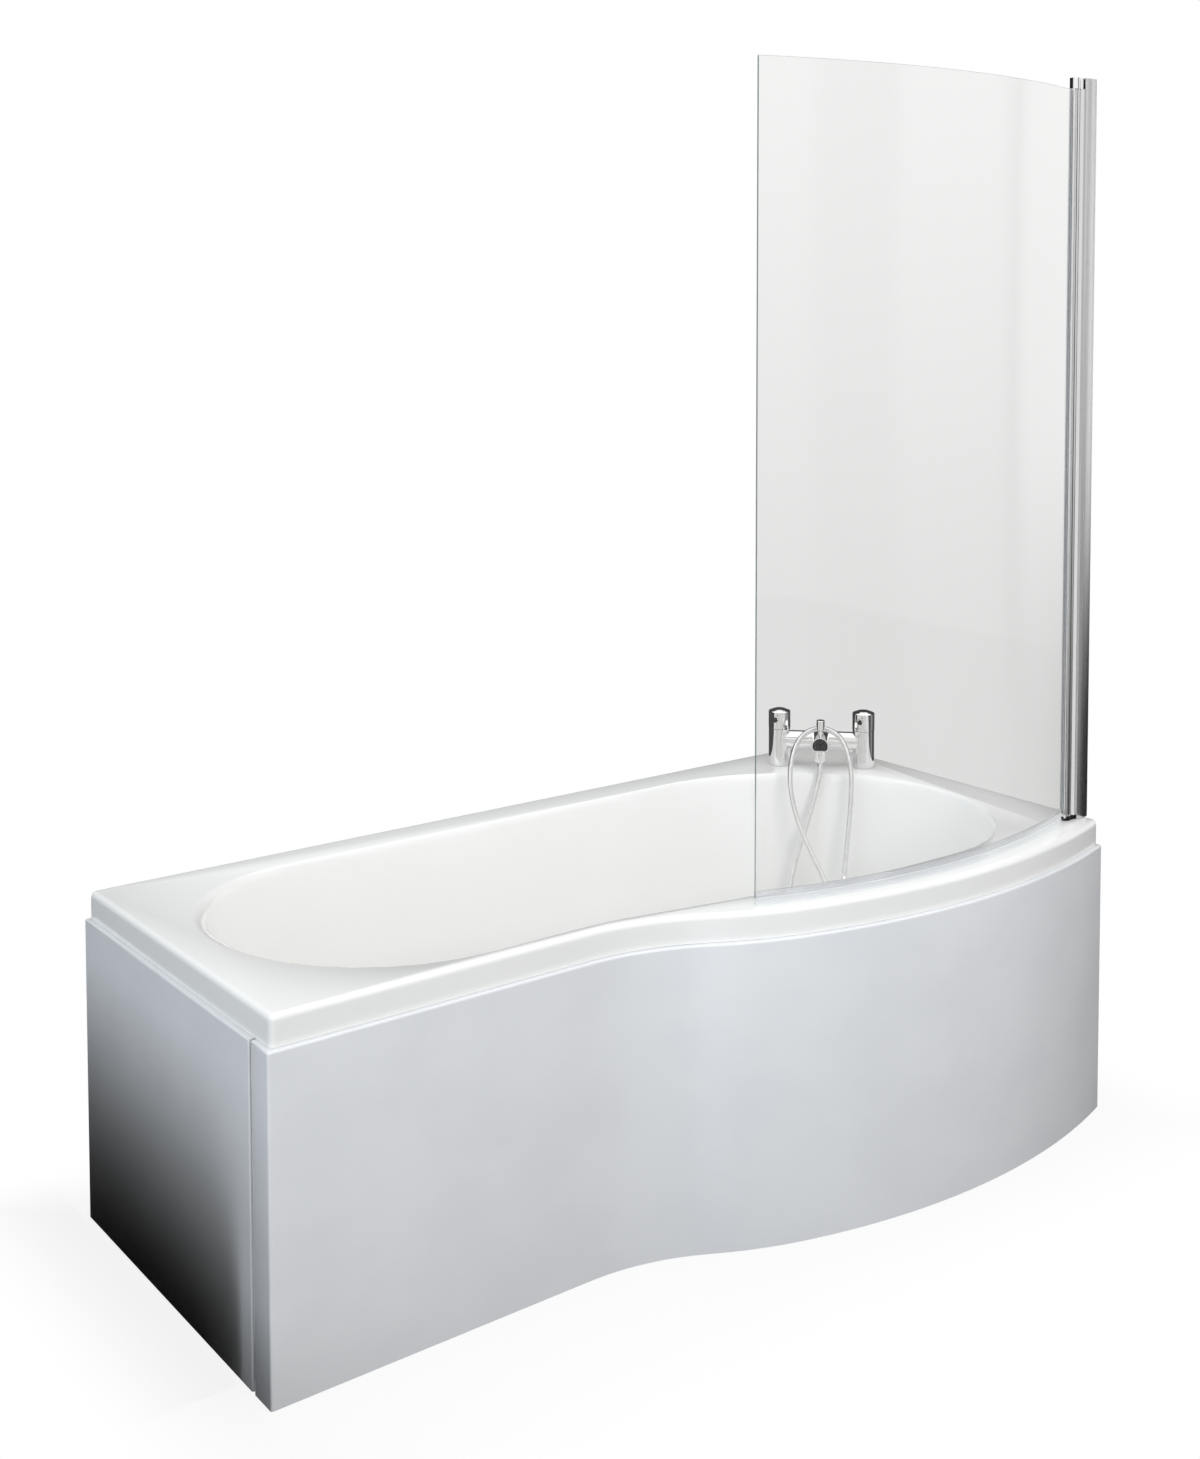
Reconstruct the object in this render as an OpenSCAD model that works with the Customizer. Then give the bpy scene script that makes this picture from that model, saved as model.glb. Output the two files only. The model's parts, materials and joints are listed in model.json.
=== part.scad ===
// B-shaped shower bath with its panels, waste, mixer, hand shower and curved screen.
// X runs along the wall to the tap end, Y from the room to the wall, Z up from the floor.

/* [Bath] */
// Length of the bath along the wall
bath_len = 1700; // [1680:5:1720]
// Width of the narrow end
narrow_w = 680; // [670:5:700]
// How far the bow stands out past the narrow end
bow = 170; // [164:1:176]
// Height of the rim above the floor
rim_h = 565; // [558:1:590]
// Height of the rim's face
rim_face = 47; // [42:1:52]
// Thickness of the moulded shell
shell_t = 6; // [5:0.5:7]
// Depth of the basin from the rim to its floor
basin_depth = 400; // [390:1:405]
// Distance of the bow's middle from the tap end
bow_from_tap = 428; // [420:1:436]
// Radius of the bow
bow_r = 1300; // [1280:5:1330]
// Radius of the shoulder beside the bow
shoulder_r = 750; // [730:5:780]
// Radius of the hollow between the narrow side and the shoulder
hollow_r = 431; // [400:1:460]
// Angle of the side where the shoulder meets the bow
shoulder_angle = 15.8; // [15:0.1:16.5]

/* [Basin] */
// Width of the rim at the narrow end
rim_left = 57; // [52:1:62]
// Width of the rim along the narrow front
rim_front = 20; // [18:1:24]
// Width of the rim at the middle of the bow
rim_bow = 95; // [90:1:100]
// Width of the rim at the tap end
rim_tap = 78; // [74:1:82]
// Width of the rim along the back wall
rim_back = 72; // [68:1:76]
// Length cut off the basin's corner for the tap deck
deck_cut = 240; // [230:1:250]
// Distance of the basin floor from the narrow end
floor_left = 340; // [320:5:360]
// Distance of the basin floor from the narrow front
floor_front = 105; // [98:1:112]
// Slope of the bow's inner wall, from rim to floor
bow_inset = 80; // [74:1:86]
// Distance of the basin floor from the tap end
floor_tap = 160; // [154:1:166]
// Distance of the basin floor from the back wall
floor_back = 135; // [130:1:140]
// Length cut off the floor's corner under the tap deck
floor_cut = 200; // [190:1:210]
// Height of the rolled edge of the basin
roll_h = 22; // [16:1:26]
// Height of the rounding between wall and floor
blend_h = 85; // [70:1:100]

/* [Frame under the bath] */
// Thickness of the board bonded under the floor
board_t = 15; // [12:1:18]
// Margin of the board inside the basin floor
board_margin = 15; // [10:1:25]
// Width of a cradle rail
rail_w = 40; // [34:1:44]
// Height of a cradle rail
rail_h = 25; // [22:1:30]
// Wall of a cradle rail
rail_t = 2.5; // [2:0.25:3]
// Distance of the first rail from the narrow end
rail_1_x = 420; // [400:5:440]
// Distance of the second rail from the tap end
rail_2_from_tap = 520; // [500:5:540]
// Distance of the rear legs from the back wall
rear_leg = 40; // [36:1:46]
// Diameter of the leg rods
rod_d = 10; // [8:1:12]
// Diameter of a foot
foot_d = 44; // [40:1:50]
// Height of a foot
foot_h = 20; // [16:1:24]

/* [Panels] */
// How far the panels stand out past the rim
panel_proud = 9; // [8:0.5:11]
// Thickness of the panels
panel_t = 4; // [3:0.5:5]
// Gap between the panels and the rim
panel_gap = 0.5; // [0.4:0.1:0.8]
// Length of the front panel that turns round the corner
panel_return = 45; // [40:1:50]
// Depth of the flange along a panel's top edge
panel_flange = 22; // [19:1:26]
// Side of the square timber behind the panels
timber = 30; // [25:1:35]

/* [Waste and overflow] */
// Distance of the waste from the tap end
waste_from_tap = 270; // [260:1:280]
// Distance of the waste from the back wall
waste_from_back = 470; // [460:1:480]
// Diameter of the waste hole
waste_hole_d = 50; // [49:1:52]
// Diameter of the waste flange
waste_flange_d = 70; // [68:1:76]
// Diameter of the plug
plug_d = 62; // [60:1:64]
// How far the plug rises
plug_travel = 8; // [6:1:10]
// Diameter of the overflow rose
rose_d = 70; // [66:1:74]
// Distance of the overflow below the rim
overflow_drop = 75; // [70:1:80]
// Outer diameter of the overflow pipe
pipe_d = 30; // [29:1:32]
// Outer diameter of the trap's cup
trap_d = 92; // [88:1:96]
// Outer diameter of the trap's outlet
outlet_d = 43; // [40:1:46]

/* [Mixer] */
// Distance of the mixer's middle from the tap end
mixer_from_tap = 142; // [140:1:146]
// Distance of the mixer's middle from the back wall
mixer_from_back = 156; // [154:1:160]
// Distance between the two pillars
pillar_gap = 180; // [178:1:184]
// Diameter of a pillar
pillar_d = 46; // [44:1:48]
// Height of a pillar's body above the deck
pillar_h = 80; // [76:1:82]
// Diameter of a handle
handle_d = 47; // [45:1:50]
// Height of a handle
handle_h = 42; // [36:1:42]
// Diameter of the bar between the pillars
bar_d = 39; // [36:1:41]
// Height of the bar's axis above the deck
bar_z = 55; // [54:1:57]
// Diameter of the spout
spout_d = 35.6; // [34:0.1:36]
// Height of the spout's axis above the deck
spout_z = 66; // [65:0.5:67]
// Length of the spout from the bar's axis
spout_len = 100; // [98:1:104]
// Height of the spout's axis above its flat underside
spout_flat = 11.7; // [11:0.1:12.5]
// Distance of the hose outlet from the bar's axis
outlet_out = 82; // [80:1:83]
// Distance of the diverter from the bar's axis
diverter_out = 68; // [66:1:70]
// Diameter of the diverter's knob
diverter_d = 17.6; // [16:0.2:19]
// How far the diverter's knob pulls up
diverter_travel = 8; // [6:1:10]
// Thickness of the gaskets under the pillars
gasket_t = 1.5; // [1:0.5:2]
// Diameter of a threaded tail
tail_d = 26.2; // [25:0.1:26.4]
// How far the tails reach below the rim's top
tail_drop = 60; // [50:1:70]

/* [Hand shower] */
// Outer diameter of the hose
hose_d = 11.5; // [11:0.1:12]
// Bore of the hose
hose_bore = 7; // [6:0.5:8]
// Diameter of the hand shower's head
head_d = 72; // [68:1:76]
// Thickness of the hand shower's head
head_t = 18; // [16:1:20]
// Length of the hand shower's handle
grip_len = 132; // [128:1:136]
// Diameter of the hand shower's handle
grip_d = 24; // [22:1:26]

/* [Screen] */
// Height of the glass
glass_h = 1382; // [1372:1:1390]
// Thickness of the glass
glass_t = 6; // [5:0.5:8]
// Radius of the curved glass
glass_r = 1180; // [1160:5:1200]
// Angle of the glass on its curve
glass_angle = 39.8; // [38.5:0.1:40]
// Gap between the rim and the glass
glass_lift = 14; // [12:1:16]
// Height of the wall channel
channel_h = 1420; // [1412:1:1430]
// Distance of the hinge from the tap end
hinge_from_tap = 52; // [50:1:54]
// How far the hinge stands out past the narrow end
hinge_out = 62; // [60:1:64]
// Angle between the screen and the bath's long side at the hinge
hinge_angle = 20.3; // [19.5:0.1:21]
// Diameter of the hinge tube
hinge_d = 18; // [17:0.5:18.5]
// Diameter of the hinge pins
pin_d = 8; // [6:0.5:9]
// Width of the wall channel along the wall
channel_w = 24; // [22:1:26]
// Depth of the wall channel from the wall
channel_deep = 34; // [30:1:36]
// Wall of the channel
channel_t = 2; // [1.5:0.25:2.5]

/* [Hidden] */
$fn = 64;

// Places that the pieces share
floor_z = rim_h - basin_depth;
under = 1.2 * shell_t;
board_top = floor_z - under;
board_z = board_top - board_t;
lip_z = rim_h - rim_face;
mid_x = (bath_len - panel_proud) / 2;
mid_y = (narrow_w - bow - panel_proud) / 2;
fit = 0.1;
running = 0.05;
seat = 0.3;

// The bow is an arc that meets the shoulder's arc, and that meets the hollow's arc
bow_c = [bath_len - bow_from_tap, bow_r - bow];
shoulder_c = bow_c - (bow_r - shoulder_r) * [sin(shoulder_angle), cos(shoulder_angle)];
hollow_angle = acos((shoulder_c[1] + hollow_r) / (hollow_r + shoulder_r));
hollow_c = [shoulder_c[0] - (hollow_r + shoulder_r) * sin(hollow_angle), -hollow_r];

function heading(a) = [sin(a), cos(a)];

// Front line from the hollow to a given x, moved outwards by a distance
function front_arcs(out, end_x, steps = 14) =
    let (end_a = asin((end_x - bow_c[0]) / (bow_r + out)))
    concat(
        [for (i = [0:steps])
            hollow_c + (hollow_r - out) * heading(hollow_angle * i / steps)],
        [for (i = [1:steps])
            shoulder_c - (shoulder_r + out)
                * heading(hollow_angle + (shoulder_angle - hollow_angle) * i / steps)],
        [for (i = [1:3 * steps])
            bow_c - (bow_r + out)
                * heading(shoulder_angle - (shoulder_angle + end_a) * i / (3 * steps))]);

// Plan of the rim, moved outwards at its front and by given sides elsewhere
function rim_plan(out, x0, x1, y1) =
    concat([[x0, y1], [x0, -out]], front_arcs(out, x1), [[x1, y1]]);

function unit(v) = v / norm(v);
function turned(v, a) = [v[0] * cos(a) - v[1] * sin(a), v[0] * sin(a) + v[1] * cos(a)];
function turn_of(a, b) = atan2(a[0] * b[1] - a[1] * b[0], a[0] * b[0] + a[1] * b[1]);

// Points of one rounded corner between its two neighbours, each corner being x, y, radius
function corner_arc(before, here, after, steps) =
    let (p = [here[0], here[1]],
        d1 = unit(p - [before[0], before[1]]),
        d2 = unit([after[0], after[1]] - p),
        turn = turn_of(d1, d2),
        side = sign(turn),
        first = p - d1 * here[2] * tan(abs(turn) / 2),
        centre = first + side * here[2] * [-d1[1], d1[0]])
    [for (k = [0:steps]) centre + turned(first - centre, turn * k / steps)];

function rounded(corners, steps = 9) =
    let (n = len(corners))
    [for (i = [0:n - 1])
        each corner_arc(corners[(i + n - 1) % n], corners[i], corners[(i + 1) % n], steps)];

// Basin's corners at the rim and at the floor: x, y, radius of each
back_y = narrow_w - rim_back;
tap_x = bath_len - rim_tap;
bow_y = rim_bow - bow;
tap_run = back_y - deck_cut - bow_y;
edge_corners = [
    [rim_left, rim_front, min(325, 0.478 * narrow_w)],
    [bow_c[0] - 672, rim_front, 600],
    [bow_c[0] - 152, bow_y, 1200],
    [tap_x, bow_y, min(295, 0.666 * tap_run)],
    [tap_x, back_y - deck_cut, min(305, 0.688 * tap_run)],
    [tap_x - deck_cut, back_y, 460],
    [rim_left, back_y, min(255, 0.375 * narrow_w)]];
floor_tap_x = bath_len - floor_tap;
floor_back_y = narrow_w - floor_back;
floor_run = floor_back_y - floor_cut - bow_y - bow_inset;
floor_corners = [
    [floor_left, floor_front, narrow_w / 4],
    [bow_c[0] - 612, floor_front, 500],
    [bow_c[0] - 142, bow_y + bow_inset, 900],
    [floor_tap_x, bow_y + bow_inset, min(215, 0.632 * floor_run)],
    [floor_tap_x, floor_back_y - floor_cut, min(225, 0.662 * floor_run)],
    [floor_tap_x - floor_cut, floor_back_y, 325],
    [floor_left, floor_back_y, narrow_w / 4]];
// Which way each corner moves when the basin's outline grows, and how its radius changes
corner_out = [[-1, -1, 1], [0, -1, -1], [0, -1, 1], [1, -1, 1],
    [1, 0.41, 1], [0.41, 1, 1], [-1, 1, 1]];

// Basin's outline at a share of the way from the rim to the floor, grown outwards
function basin_ring(share, grow) =
    rounded([for (i = [0:6])
        edge_corners[i] + share * (floor_corners[i] - edge_corners[i])
            + grow * corner_out[i]]);

// Wall of the basin from the rim down: share of the way in, and depth
roll_share = 0.11;
blend_share = 0.42;
wall_top = [roll_share * sin(80), roll_h * (1 - cos(80))];
wall_foot = [1 - blend_share * sin(80), basin_depth - blend_h * (1 - cos(80))];
wall_line = concat(
    [for (a = [20:20:60]) [roll_share * sin(a), roll_h * (1 - cos(a))]],
    [wall_top],
    [for (b = [80:-16:0]) [1 - blend_share * sin(b), basin_depth - blend_h * (1 - cos(b))]]);
inner_line = concat([[-0.02, -2]], wall_line);
outer_line = concat([[0, shell_t / 2], [0, under]],
    [for (p = wall_line) if (p[1] > 2) p + [0, under]]);

// Closed solid between the rings of a wall line
module basin_solid(line, grow) {
    rings = [for (p = line) [for (q = basin_ring(p[0], grow)) [q[0], q[1], rim_h - p[1]]]];
    n = len(rings[0]);
    m = len(rings);
    points = [for (r = rings) each r];
    sides = [for (k = [0:m - 2], i = [0:n - 1])
        let (j = (i + 1) % n, a = k * n + i, b = k * n + j, c = b + n, d = a + n)
        each [[a, b, c], [a, c, d]]];
    top = [[for (i = [n - 1:-1:0]) i]];
    bottom = [[for (i = [0:n - 1]) (m - 1) * n + i]];
    polyhedron(points = points, faces = concat(sides, top, bottom), convexity = 4);
}

module ring(outer, inner, h) {
    difference() {
        cylinder(d = outer, h = h);
        translate([0, 0, -1]) cylinder(d = inner, h = h + 2);
    }
}

module hex_nut(across, bore, h) {
    difference() {
        cylinder(d = across / cos(30), h = h, $fn = 6);
        translate([0, 0, -1]) cylinder(d = bore, h = h + 2);
    }
}

module bath_frame() translate([-mid_x, -mid_y, 0]) children();

// Overflow: its middle on the wall's inner face, with Z into the basin
overflow_x = bow_c[0] + 6;
band = (overflow_drop - wall_top[1]) / (wall_foot[1] - wall_top[1]);
overflow_share = wall_top[0] + band * (wall_foot[0] - wall_top[0]);
overflow_y = bow_y + overflow_share * bow_inset;
overflow_tilt = atan((wall_foot[0] - wall_top[0]) * bow_inset
    / (wall_foot[1] - wall_top[1]));
overflow_wall = (shell_t + under * tan(overflow_tilt)) * cos(overflow_tilt);
overflow_seal = 3;
overflow_body_t = 32;
overflow_out = (overflow_wall + overflow_seal + overflow_body_t / 2) * cos(overflow_tilt);
overflow_fall = (overflow_wall + overflow_seal + overflow_body_t / 2) * sin(overflow_tilt);
module overflow_frame()
    bath_frame() translate([overflow_x, overflow_y, rim_h - overflow_drop])
        rotate([overflow_tilt - 90, 0, 0]) children();

// Waste: its middle at the basin floor
waste_x = bath_len - waste_from_tap;
waste_y = narrow_w - waste_from_back;
module waste_frame() bath_frame() translate([waste_x, waste_y, floor_z]) children();

// Mixer: its middle on the deck, with X from hot to cold and Y away from the basin
mixer_x = bath_len - mixer_from_tap;
mixer_y = narrow_w - mixer_from_back;
mixer_turn = -45;
module mixer_frame()
    bath_frame() translate([mixer_x, mixer_y, rim_h]) rotate([0, 0, mixer_turn]) children();
module each_pillar() for (s = [-1, 1]) translate([s * pillar_gap / 2, 0, 0]) children();

// Screen: the hinge's axis at the rim, with X along the closed screen towards the hinge
hinge_x = bath_len - hinge_from_tap;
module hinge_frame() bath_frame() translate([hinge_x, -hinge_out, rim_h]) children();
module screen_frame() hinge_frame() rotate([0, 0, hinge_angle]) children();

// Bath

tap_hole_d = tail_d + 2;
overflow_hole_d = 52;

module rim_tray() {
    difference() {
        translate([0, 0, lip_z])
            linear_extrude(rim_face) polygon(rim_plan(0, 0, bath_len, narrow_w));
        translate([0, 0, lip_z - 1])
            linear_extrude(rim_face - shell_t + 1)
                polygon(rim_plan(-shell_t, shell_t, bath_len - shell_t, narrow_w - shell_t));
    }
}

// The moulded shell is five nodes that meet at cuts: under the deck, over the floor, and
// across the walls between the head's end, the bow and the tap end's back corner
deck_under = rim_h - shell_t;
floor_cut_z = floor_z + 3.5;
bow_cut_y = 0.37 * narrow_w;
head_cut_x = 0.36 * bath_len;
module bath_rim() {
    color("white") difference() {
        bath_frame() difference() {
            rim_tray();
            basin_solid(inner_line, 0);
        }
        mixer_frame() each_pillar()
            translate([0, 0, -2 * shell_t]) cylinder(d = tap_hole_d, h = 3 * shell_t);
    }
}

module wall_part(x0, x1, y0, y1) {
    bath_frame() intersection() {
        difference() {
            basin_solid(outer_line, shell_t);
            basin_solid(inner_line, 0);
        }
        translate([x0, y0, floor_cut_z]) cube([x1 - x0, y1 - y0, deck_under - floor_cut_z]);
    }
}

module bath_head_wall() {
    color("white") wall_part(-bath_len, head_cut_x, -bath_len, 2 * bath_len);
}

module bath_tap_wall() {
    color("white") wall_part(head_cut_x, 2 * bath_len, bow_cut_y, 2 * bath_len);
}

module bath_bow_wall() {
    color("white") difference() {
        wall_part(head_cut_x, 2 * bath_len, -bath_len, bow_cut_y);
        overflow_frame()
            translate([0, 0, -3 * shell_t]) cylinder(d = overflow_hole_d, h = 4 * shell_t);
    }
}

module bath_floor() {
    color("white") difference() {
        bath_frame() intersection() {
            difference() {
                basin_solid(outer_line, shell_t);
                basin_solid(inner_line, 0);
            }
            translate([-bath_len, -bath_len, 0])
                cube([3 * bath_len, 3 * bath_len, floor_cut_z]);
        }
        waste_frame()
            translate([0, 0, -2 * under]) cylinder(d = waste_hole_d, h = 3 * under);
    }
}

waste_clear_d = 90;
module base_board() {
    color("burlywood") bath_frame() difference() {
        translate([0, 0, board_z])
            linear_extrude(board_t) polygon(basin_ring(1, -board_margin));
        translate([waste_x, waste_y, board_z - 1]) cylinder(d = waste_clear_d, h = board_t + 2);
        for (x = rail_x, y = screw_y)
            translate([x, y, board_z - 1]) cylinder(d = screw_d, h = screw_deep + 1);
    }
}

// Timber bonded under the rim, along the wall, the narrow end, the tap end and the bow
batten_t = 18;
batten_w = 30;
end_batten = narrow_w - 400;
module rim_battens() {
    z = rim_h - shell_t - batten_t;
    inside = shell_t + 4;
    color("tan") bath_frame() {
        translate([rail_1_x - 80, narrow_w - inside - batten_w, z])
            cube([bath_len - 2 * deck_cut - rail_1_x, batten_w, batten_t]);
        translate([inside, narrow_w / 2 - end_batten / 2, z])
            cube([batten_w - 6, end_batten, batten_t]);
        translate([bath_len - inside - batten_w, rim_front, z])
            cube([batten_w, narrow_w / 2, batten_t]);
        translate([0, 0, z]) linear_extrude(batten_t)
            polygon(concat(
                [for (a = [10:-2:-12]) bow_c - (bow_r - inside) * heading(a)],
                [for (a = [-12:2:10]) bow_c - (bow_r - inside - batten_w) * heading(a)]));
    }
}

// Cradle: two rails under the board, each on two legs, and a leg under the middle
rail_x = [rail_1_x, bath_len - rail_2_from_tap];
screw_d = 4.2;
screw_deep = 10;
screw_y = [180, 330, 480];
leg_front = [rim_front + 25, rim_front - 70];
leg_rear_y = narrow_w - rear_leg;
rail_end = 20;
centre_leg = [800, narrow_w / 2];
rod_hole = rod_d + 1;

module cradle_rails() {
    color("silver") bath_frame() for (i = [0, 1]) {
        y0 = leg_front[i] - rail_end;
        length = leg_rear_y + rail_end - y0;
        translate([rail_x[i] - rail_w / 2, y0, board_z - rail_h]) difference() {
            cube([rail_w, length, rail_h]);
            translate([rail_t, -1, -1])
                cube([rail_w - 2 * rail_t, length + 2, rail_h - rail_t + 1]);
            for (y = [rail_end, length - rail_end])
                translate([rail_w / 2, y, 0]) cylinder(d = rod_hole, h = rail_h + 1);
            for (y = screw_y)
                translate([rail_w / 2, y - y0, 0]) cylinder(d = screw_d + 0.6, h = rail_h + 1);
        }
    }
}

module rail_screws() {
    color("silver") bath_frame() for (x = rail_x, y = screw_y)
        translate([x, y, board_z - rail_t]) {
            cylinder(d = screw_d - fit, h = rail_t + screw_deep - 1);
            translate([0, 0, -3]) cylinder(d = 9, h = 3);
        }
}

plate = 60;
plate_t = 3;
module centre_leg_plate() {
    color("silver") bath_frame() translate([centre_leg[0], centre_leg[1], board_z - plate_t])
        difference() {
            union() {
                translate([-plate / 2, -plate / 2, 0]) cube([plate, plate, plate_t]);
                translate([0, 0, -12]) cylinder(d = rod_d + 8, h = 13);
            }
            translate([0, 0, -13]) cylinder(d = rod_d + 2 * fit, h = 12);
        }
}

rail_legs = [for (i = [0, 1]) each [[rail_x[i], leg_front[i]], [rail_x[i], leg_rear_y]]];
foot_floor = 6;
nut_h = 8;
module leg_rods() {
    color("silver") bath_frame() {
        for (p = rail_legs) translate([p[0], p[1], foot_floor])
            cylinder(d = rod_d, h = board_z + nut_h + 6 - foot_floor);
        translate([centre_leg[0], centre_leg[1], foot_floor])
            cylinder(d = rod_d, h = board_z - plate_t - 1 - foot_floor);
    }
}

module leg_nuts() {
    across = 1.7 * rod_d;
    bore = rod_d + 2 * fit;
    color("silver") bath_frame() {
        for (p = rail_legs, z = [board_z, board_z - rail_t - nut_h, foot_h])
            translate([p[0], p[1], z]) hex_nut(across, bore, nut_h);
        for (z = [board_z - plate_t - 12 - nut_h, foot_h])
            translate([centre_leg[0], centre_leg[1], z]) hex_nut(across, bore, nut_h);
    }
}

module leg_feet() {
    r = foot_d / 2;
    neck = rod_d / 2 + 6;
    color("dimgray") bath_frame() for (p = concat(rail_legs, [centre_leg]))
        translate([p[0], p[1], 0]) difference() {
            rotate_extrude() polygon([[0, 0], [r, 0], [r, 5], [neck, foot_h - 6],
                [neck, foot_h], [0, foot_h]]);
            translate([0, 0, foot_floor]) cylinder(d = rod_d + 2 * fit, h = foot_h);
        }
}

// Panels

panel_top = lip_z - panel_gap;
panel_in = panel_proud - panel_t;

module front_strip(inner, h) {
    outer = concat([[-panel_proud, panel_return], [-panel_proud, -panel_proud]],
        front_arcs(panel_proud, bath_len));
    back = concat([[-inner, panel_return], [-inner, -inner]], front_arcs(inner, bath_len));
    n = len(back);
    linear_extrude(h) polygon(concat(outer, [for (i = [n - 1:-1:0]) back[i]]));
}

module front_panel() {
    color("whitesmoke") bath_frame() {
        front_strip(panel_in, panel_top);
        translate([0, 0, panel_top - panel_t])
            front_strip(panel_proud - panel_flange, panel_t);
    }
}

panel_seam = 2;
module end_panel() {
    y0 = panel_return + panel_seam;
    length = narrow_w - y0;
    color("whitesmoke") bath_frame() translate([-panel_proud, y0, 0]) {
        cube([panel_t, length, panel_top]);
        translate([0, 0, panel_top - panel_t]) cube([panel_flange, length, panel_t]);
    }
}

batten_a = [9, 1, -9];
module floor_battens() {
    color("tan") bath_frame() {
        translate([60, seat - panel_in, 0]) cube([320, timber, timber]);
        translate([seat - panel_in, 80, 0]) cube([timber, narrow_w - 140, timber]);
        for (a = batten_a) translate([bow_c[0], bow_c[1], 0]) rotate([0, 0, -a])
            translate([-60, 1.7 - bow_r - panel_in, 0]) cube([120, timber, timber]);
    }
}

panel_screw_z = 15;
module panel_screws() {
    color("silver") bath_frame() {
        for (x = [120, 320]) translate([x, seat - panel_in + timber + 4, panel_screw_z])
            rotate([90, 0, 0]) cylinder(d = 9, h = 4);
        for (y = [150, narrow_w - 130]) translate([seat - panel_in + timber + 4, y, panel_screw_z])
            rotate([0, -90, 0]) cylinder(d = 9, h = 4);
    }
}

// Waste

tube_d = waste_hole_d - 2;
tube_bore = tube_d - 6;
seal_t = 1;
flange_t = 3;
tube_drop = 38;
hub_d = 16;
hub_drop = 18;
stem_d = 8;
module waste_flange() {
    color("silver") waste_frame() difference() {
        union() {
            translate([0, 0, seal_t]) ring(waste_flange_d, tube_bore, flange_t);
            translate([0, 0, -tube_drop]) ring(tube_d, tube_bore, tube_drop + seal_t + 1);
            translate([0, 0, -tube_drop]) cylinder(d = hub_d, h = hub_drop);
            for (a = [0, 60, 120]) rotate([0, 0, a])
                translate([-tube_bore / 2 - 1, -1.5, -tube_drop]) cube([tube_bore + 2, 3, 6]);
        }
        translate([0, 0, 1 - tube_drop]) cylinder(d = stem_d + 2 * running, h = hub_drop);
    }
}

washer_t = 4;
module drain_gaskets() {
    color("dimgray") {
        waste_frame() {
            ring(waste_flange_d - 4, waste_hole_d + 1, seal_t);
            translate([0, 0, -under - washer_t]) ring(waste_flange_d, waste_hole_d, washer_t);
        }
        overflow_frame() translate([0, 0, -overflow_wall - overflow_seal])
            ring(62, 42, overflow_seal);
    }
}

plug_z = seal_t + flange_t + seat;
plug_t = 5;
plug_boss_d = tube_bore - 10;
plug_boss = 8;
module waste_plug() {
    dome = 2;
    r = plug_d / 2;
    color("silver") waste_frame() translate([0, 0, plug_z]) {
        rotate_extrude() polygon([[0, 0], [r - 1, 0], [r, 1], [r, plug_t - dome - 1],
            [r - 2, plug_t - dome], [r / 2, plug_t - 0.5], [0, plug_t]]);
        translate([0, 0, -plug_boss]) cylinder(d = plug_boss_d, h = plug_boss);
        translate([0, 0, 3 - tube_drop - plug_z]) cylinder(d = stem_d, h = tube_drop - 3 + plug_z);
    }
}

module plug_seal() {
    color("dimgray") waste_frame() translate([0, 0, plug_z - 4])
        ring(tube_bore - 1, plug_boss_d + 2 * fit, 3);
}

body_top = -under - washer_t;
chamber_d = 60;
chamber_drop = 57;
chamber_t = 3.5;
spigot_d = 46;
spigot_drop = 87;
port_z = -39;
port_len = 62;
bore_d = pipe_d - 5;
pipe_plan = [overflow_x - waste_x, overflow_y - overflow_out - waste_y];
pipe_turn = atan2(pipe_plan[1], pipe_plan[0]);
module waste_body() {
    color("whitesmoke") waste_frame() difference() {
        union() {
            translate([0, 0, body_top - 5]) cylinder(d = waste_flange_d, h = 5);
            translate([0, 0, -chamber_drop]) cylinder(d = chamber_d, h = chamber_drop + body_top);
            translate([0, 0, -spigot_drop])
                cylinder(d = spigot_d, h = spigot_drop - chamber_drop + 1);
            rotate([0, 0, pipe_turn]) translate([0, 0, port_z]) rotate([0, 90, 0])
                cylinder(d = bore_d - 2 * fit, h = port_len);
        }
        translate([0, 0, body_top - 12]) cylinder(d = tube_d + 2 * fit, h = 13);
        translate([0, 0, chamber_t - chamber_drop])
            cylinder(d = chamber_d - 2 * chamber_t, h = chamber_drop + body_top - 10 - chamber_t);
        translate([0, 0, -spigot_drop - 1])
            cylinder(d = spigot_d - 6, h = spigot_drop - chamber_drop + chamber_t + 2);
        rotate([0, 0, pipe_turn]) translate([0, 0, port_z]) rotate([0, 90, 0])
            cylinder(d = bore_d - 5, h = port_len + 1);
    }
}

cup_top = -89;
cup_drop = 141;
collar_h = 11;
nut_top = -64;
module trap_nut() {
    color("whitesmoke") waste_frame() translate([0, 0, cup_top + collar_h + 0.5])
        difference() {
            cylinder(d = 62, h = nut_top - cup_top - collar_h);
            translate([0, 0, -1]) cylinder(d = spigot_d + 2 * fit, h = 30);
            for (a = [0:30:330]) rotate([0, 0, a])
                translate([32, 0, -1]) cylinder(d = 6, h = 30, $fn = 16);
        }
}

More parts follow.
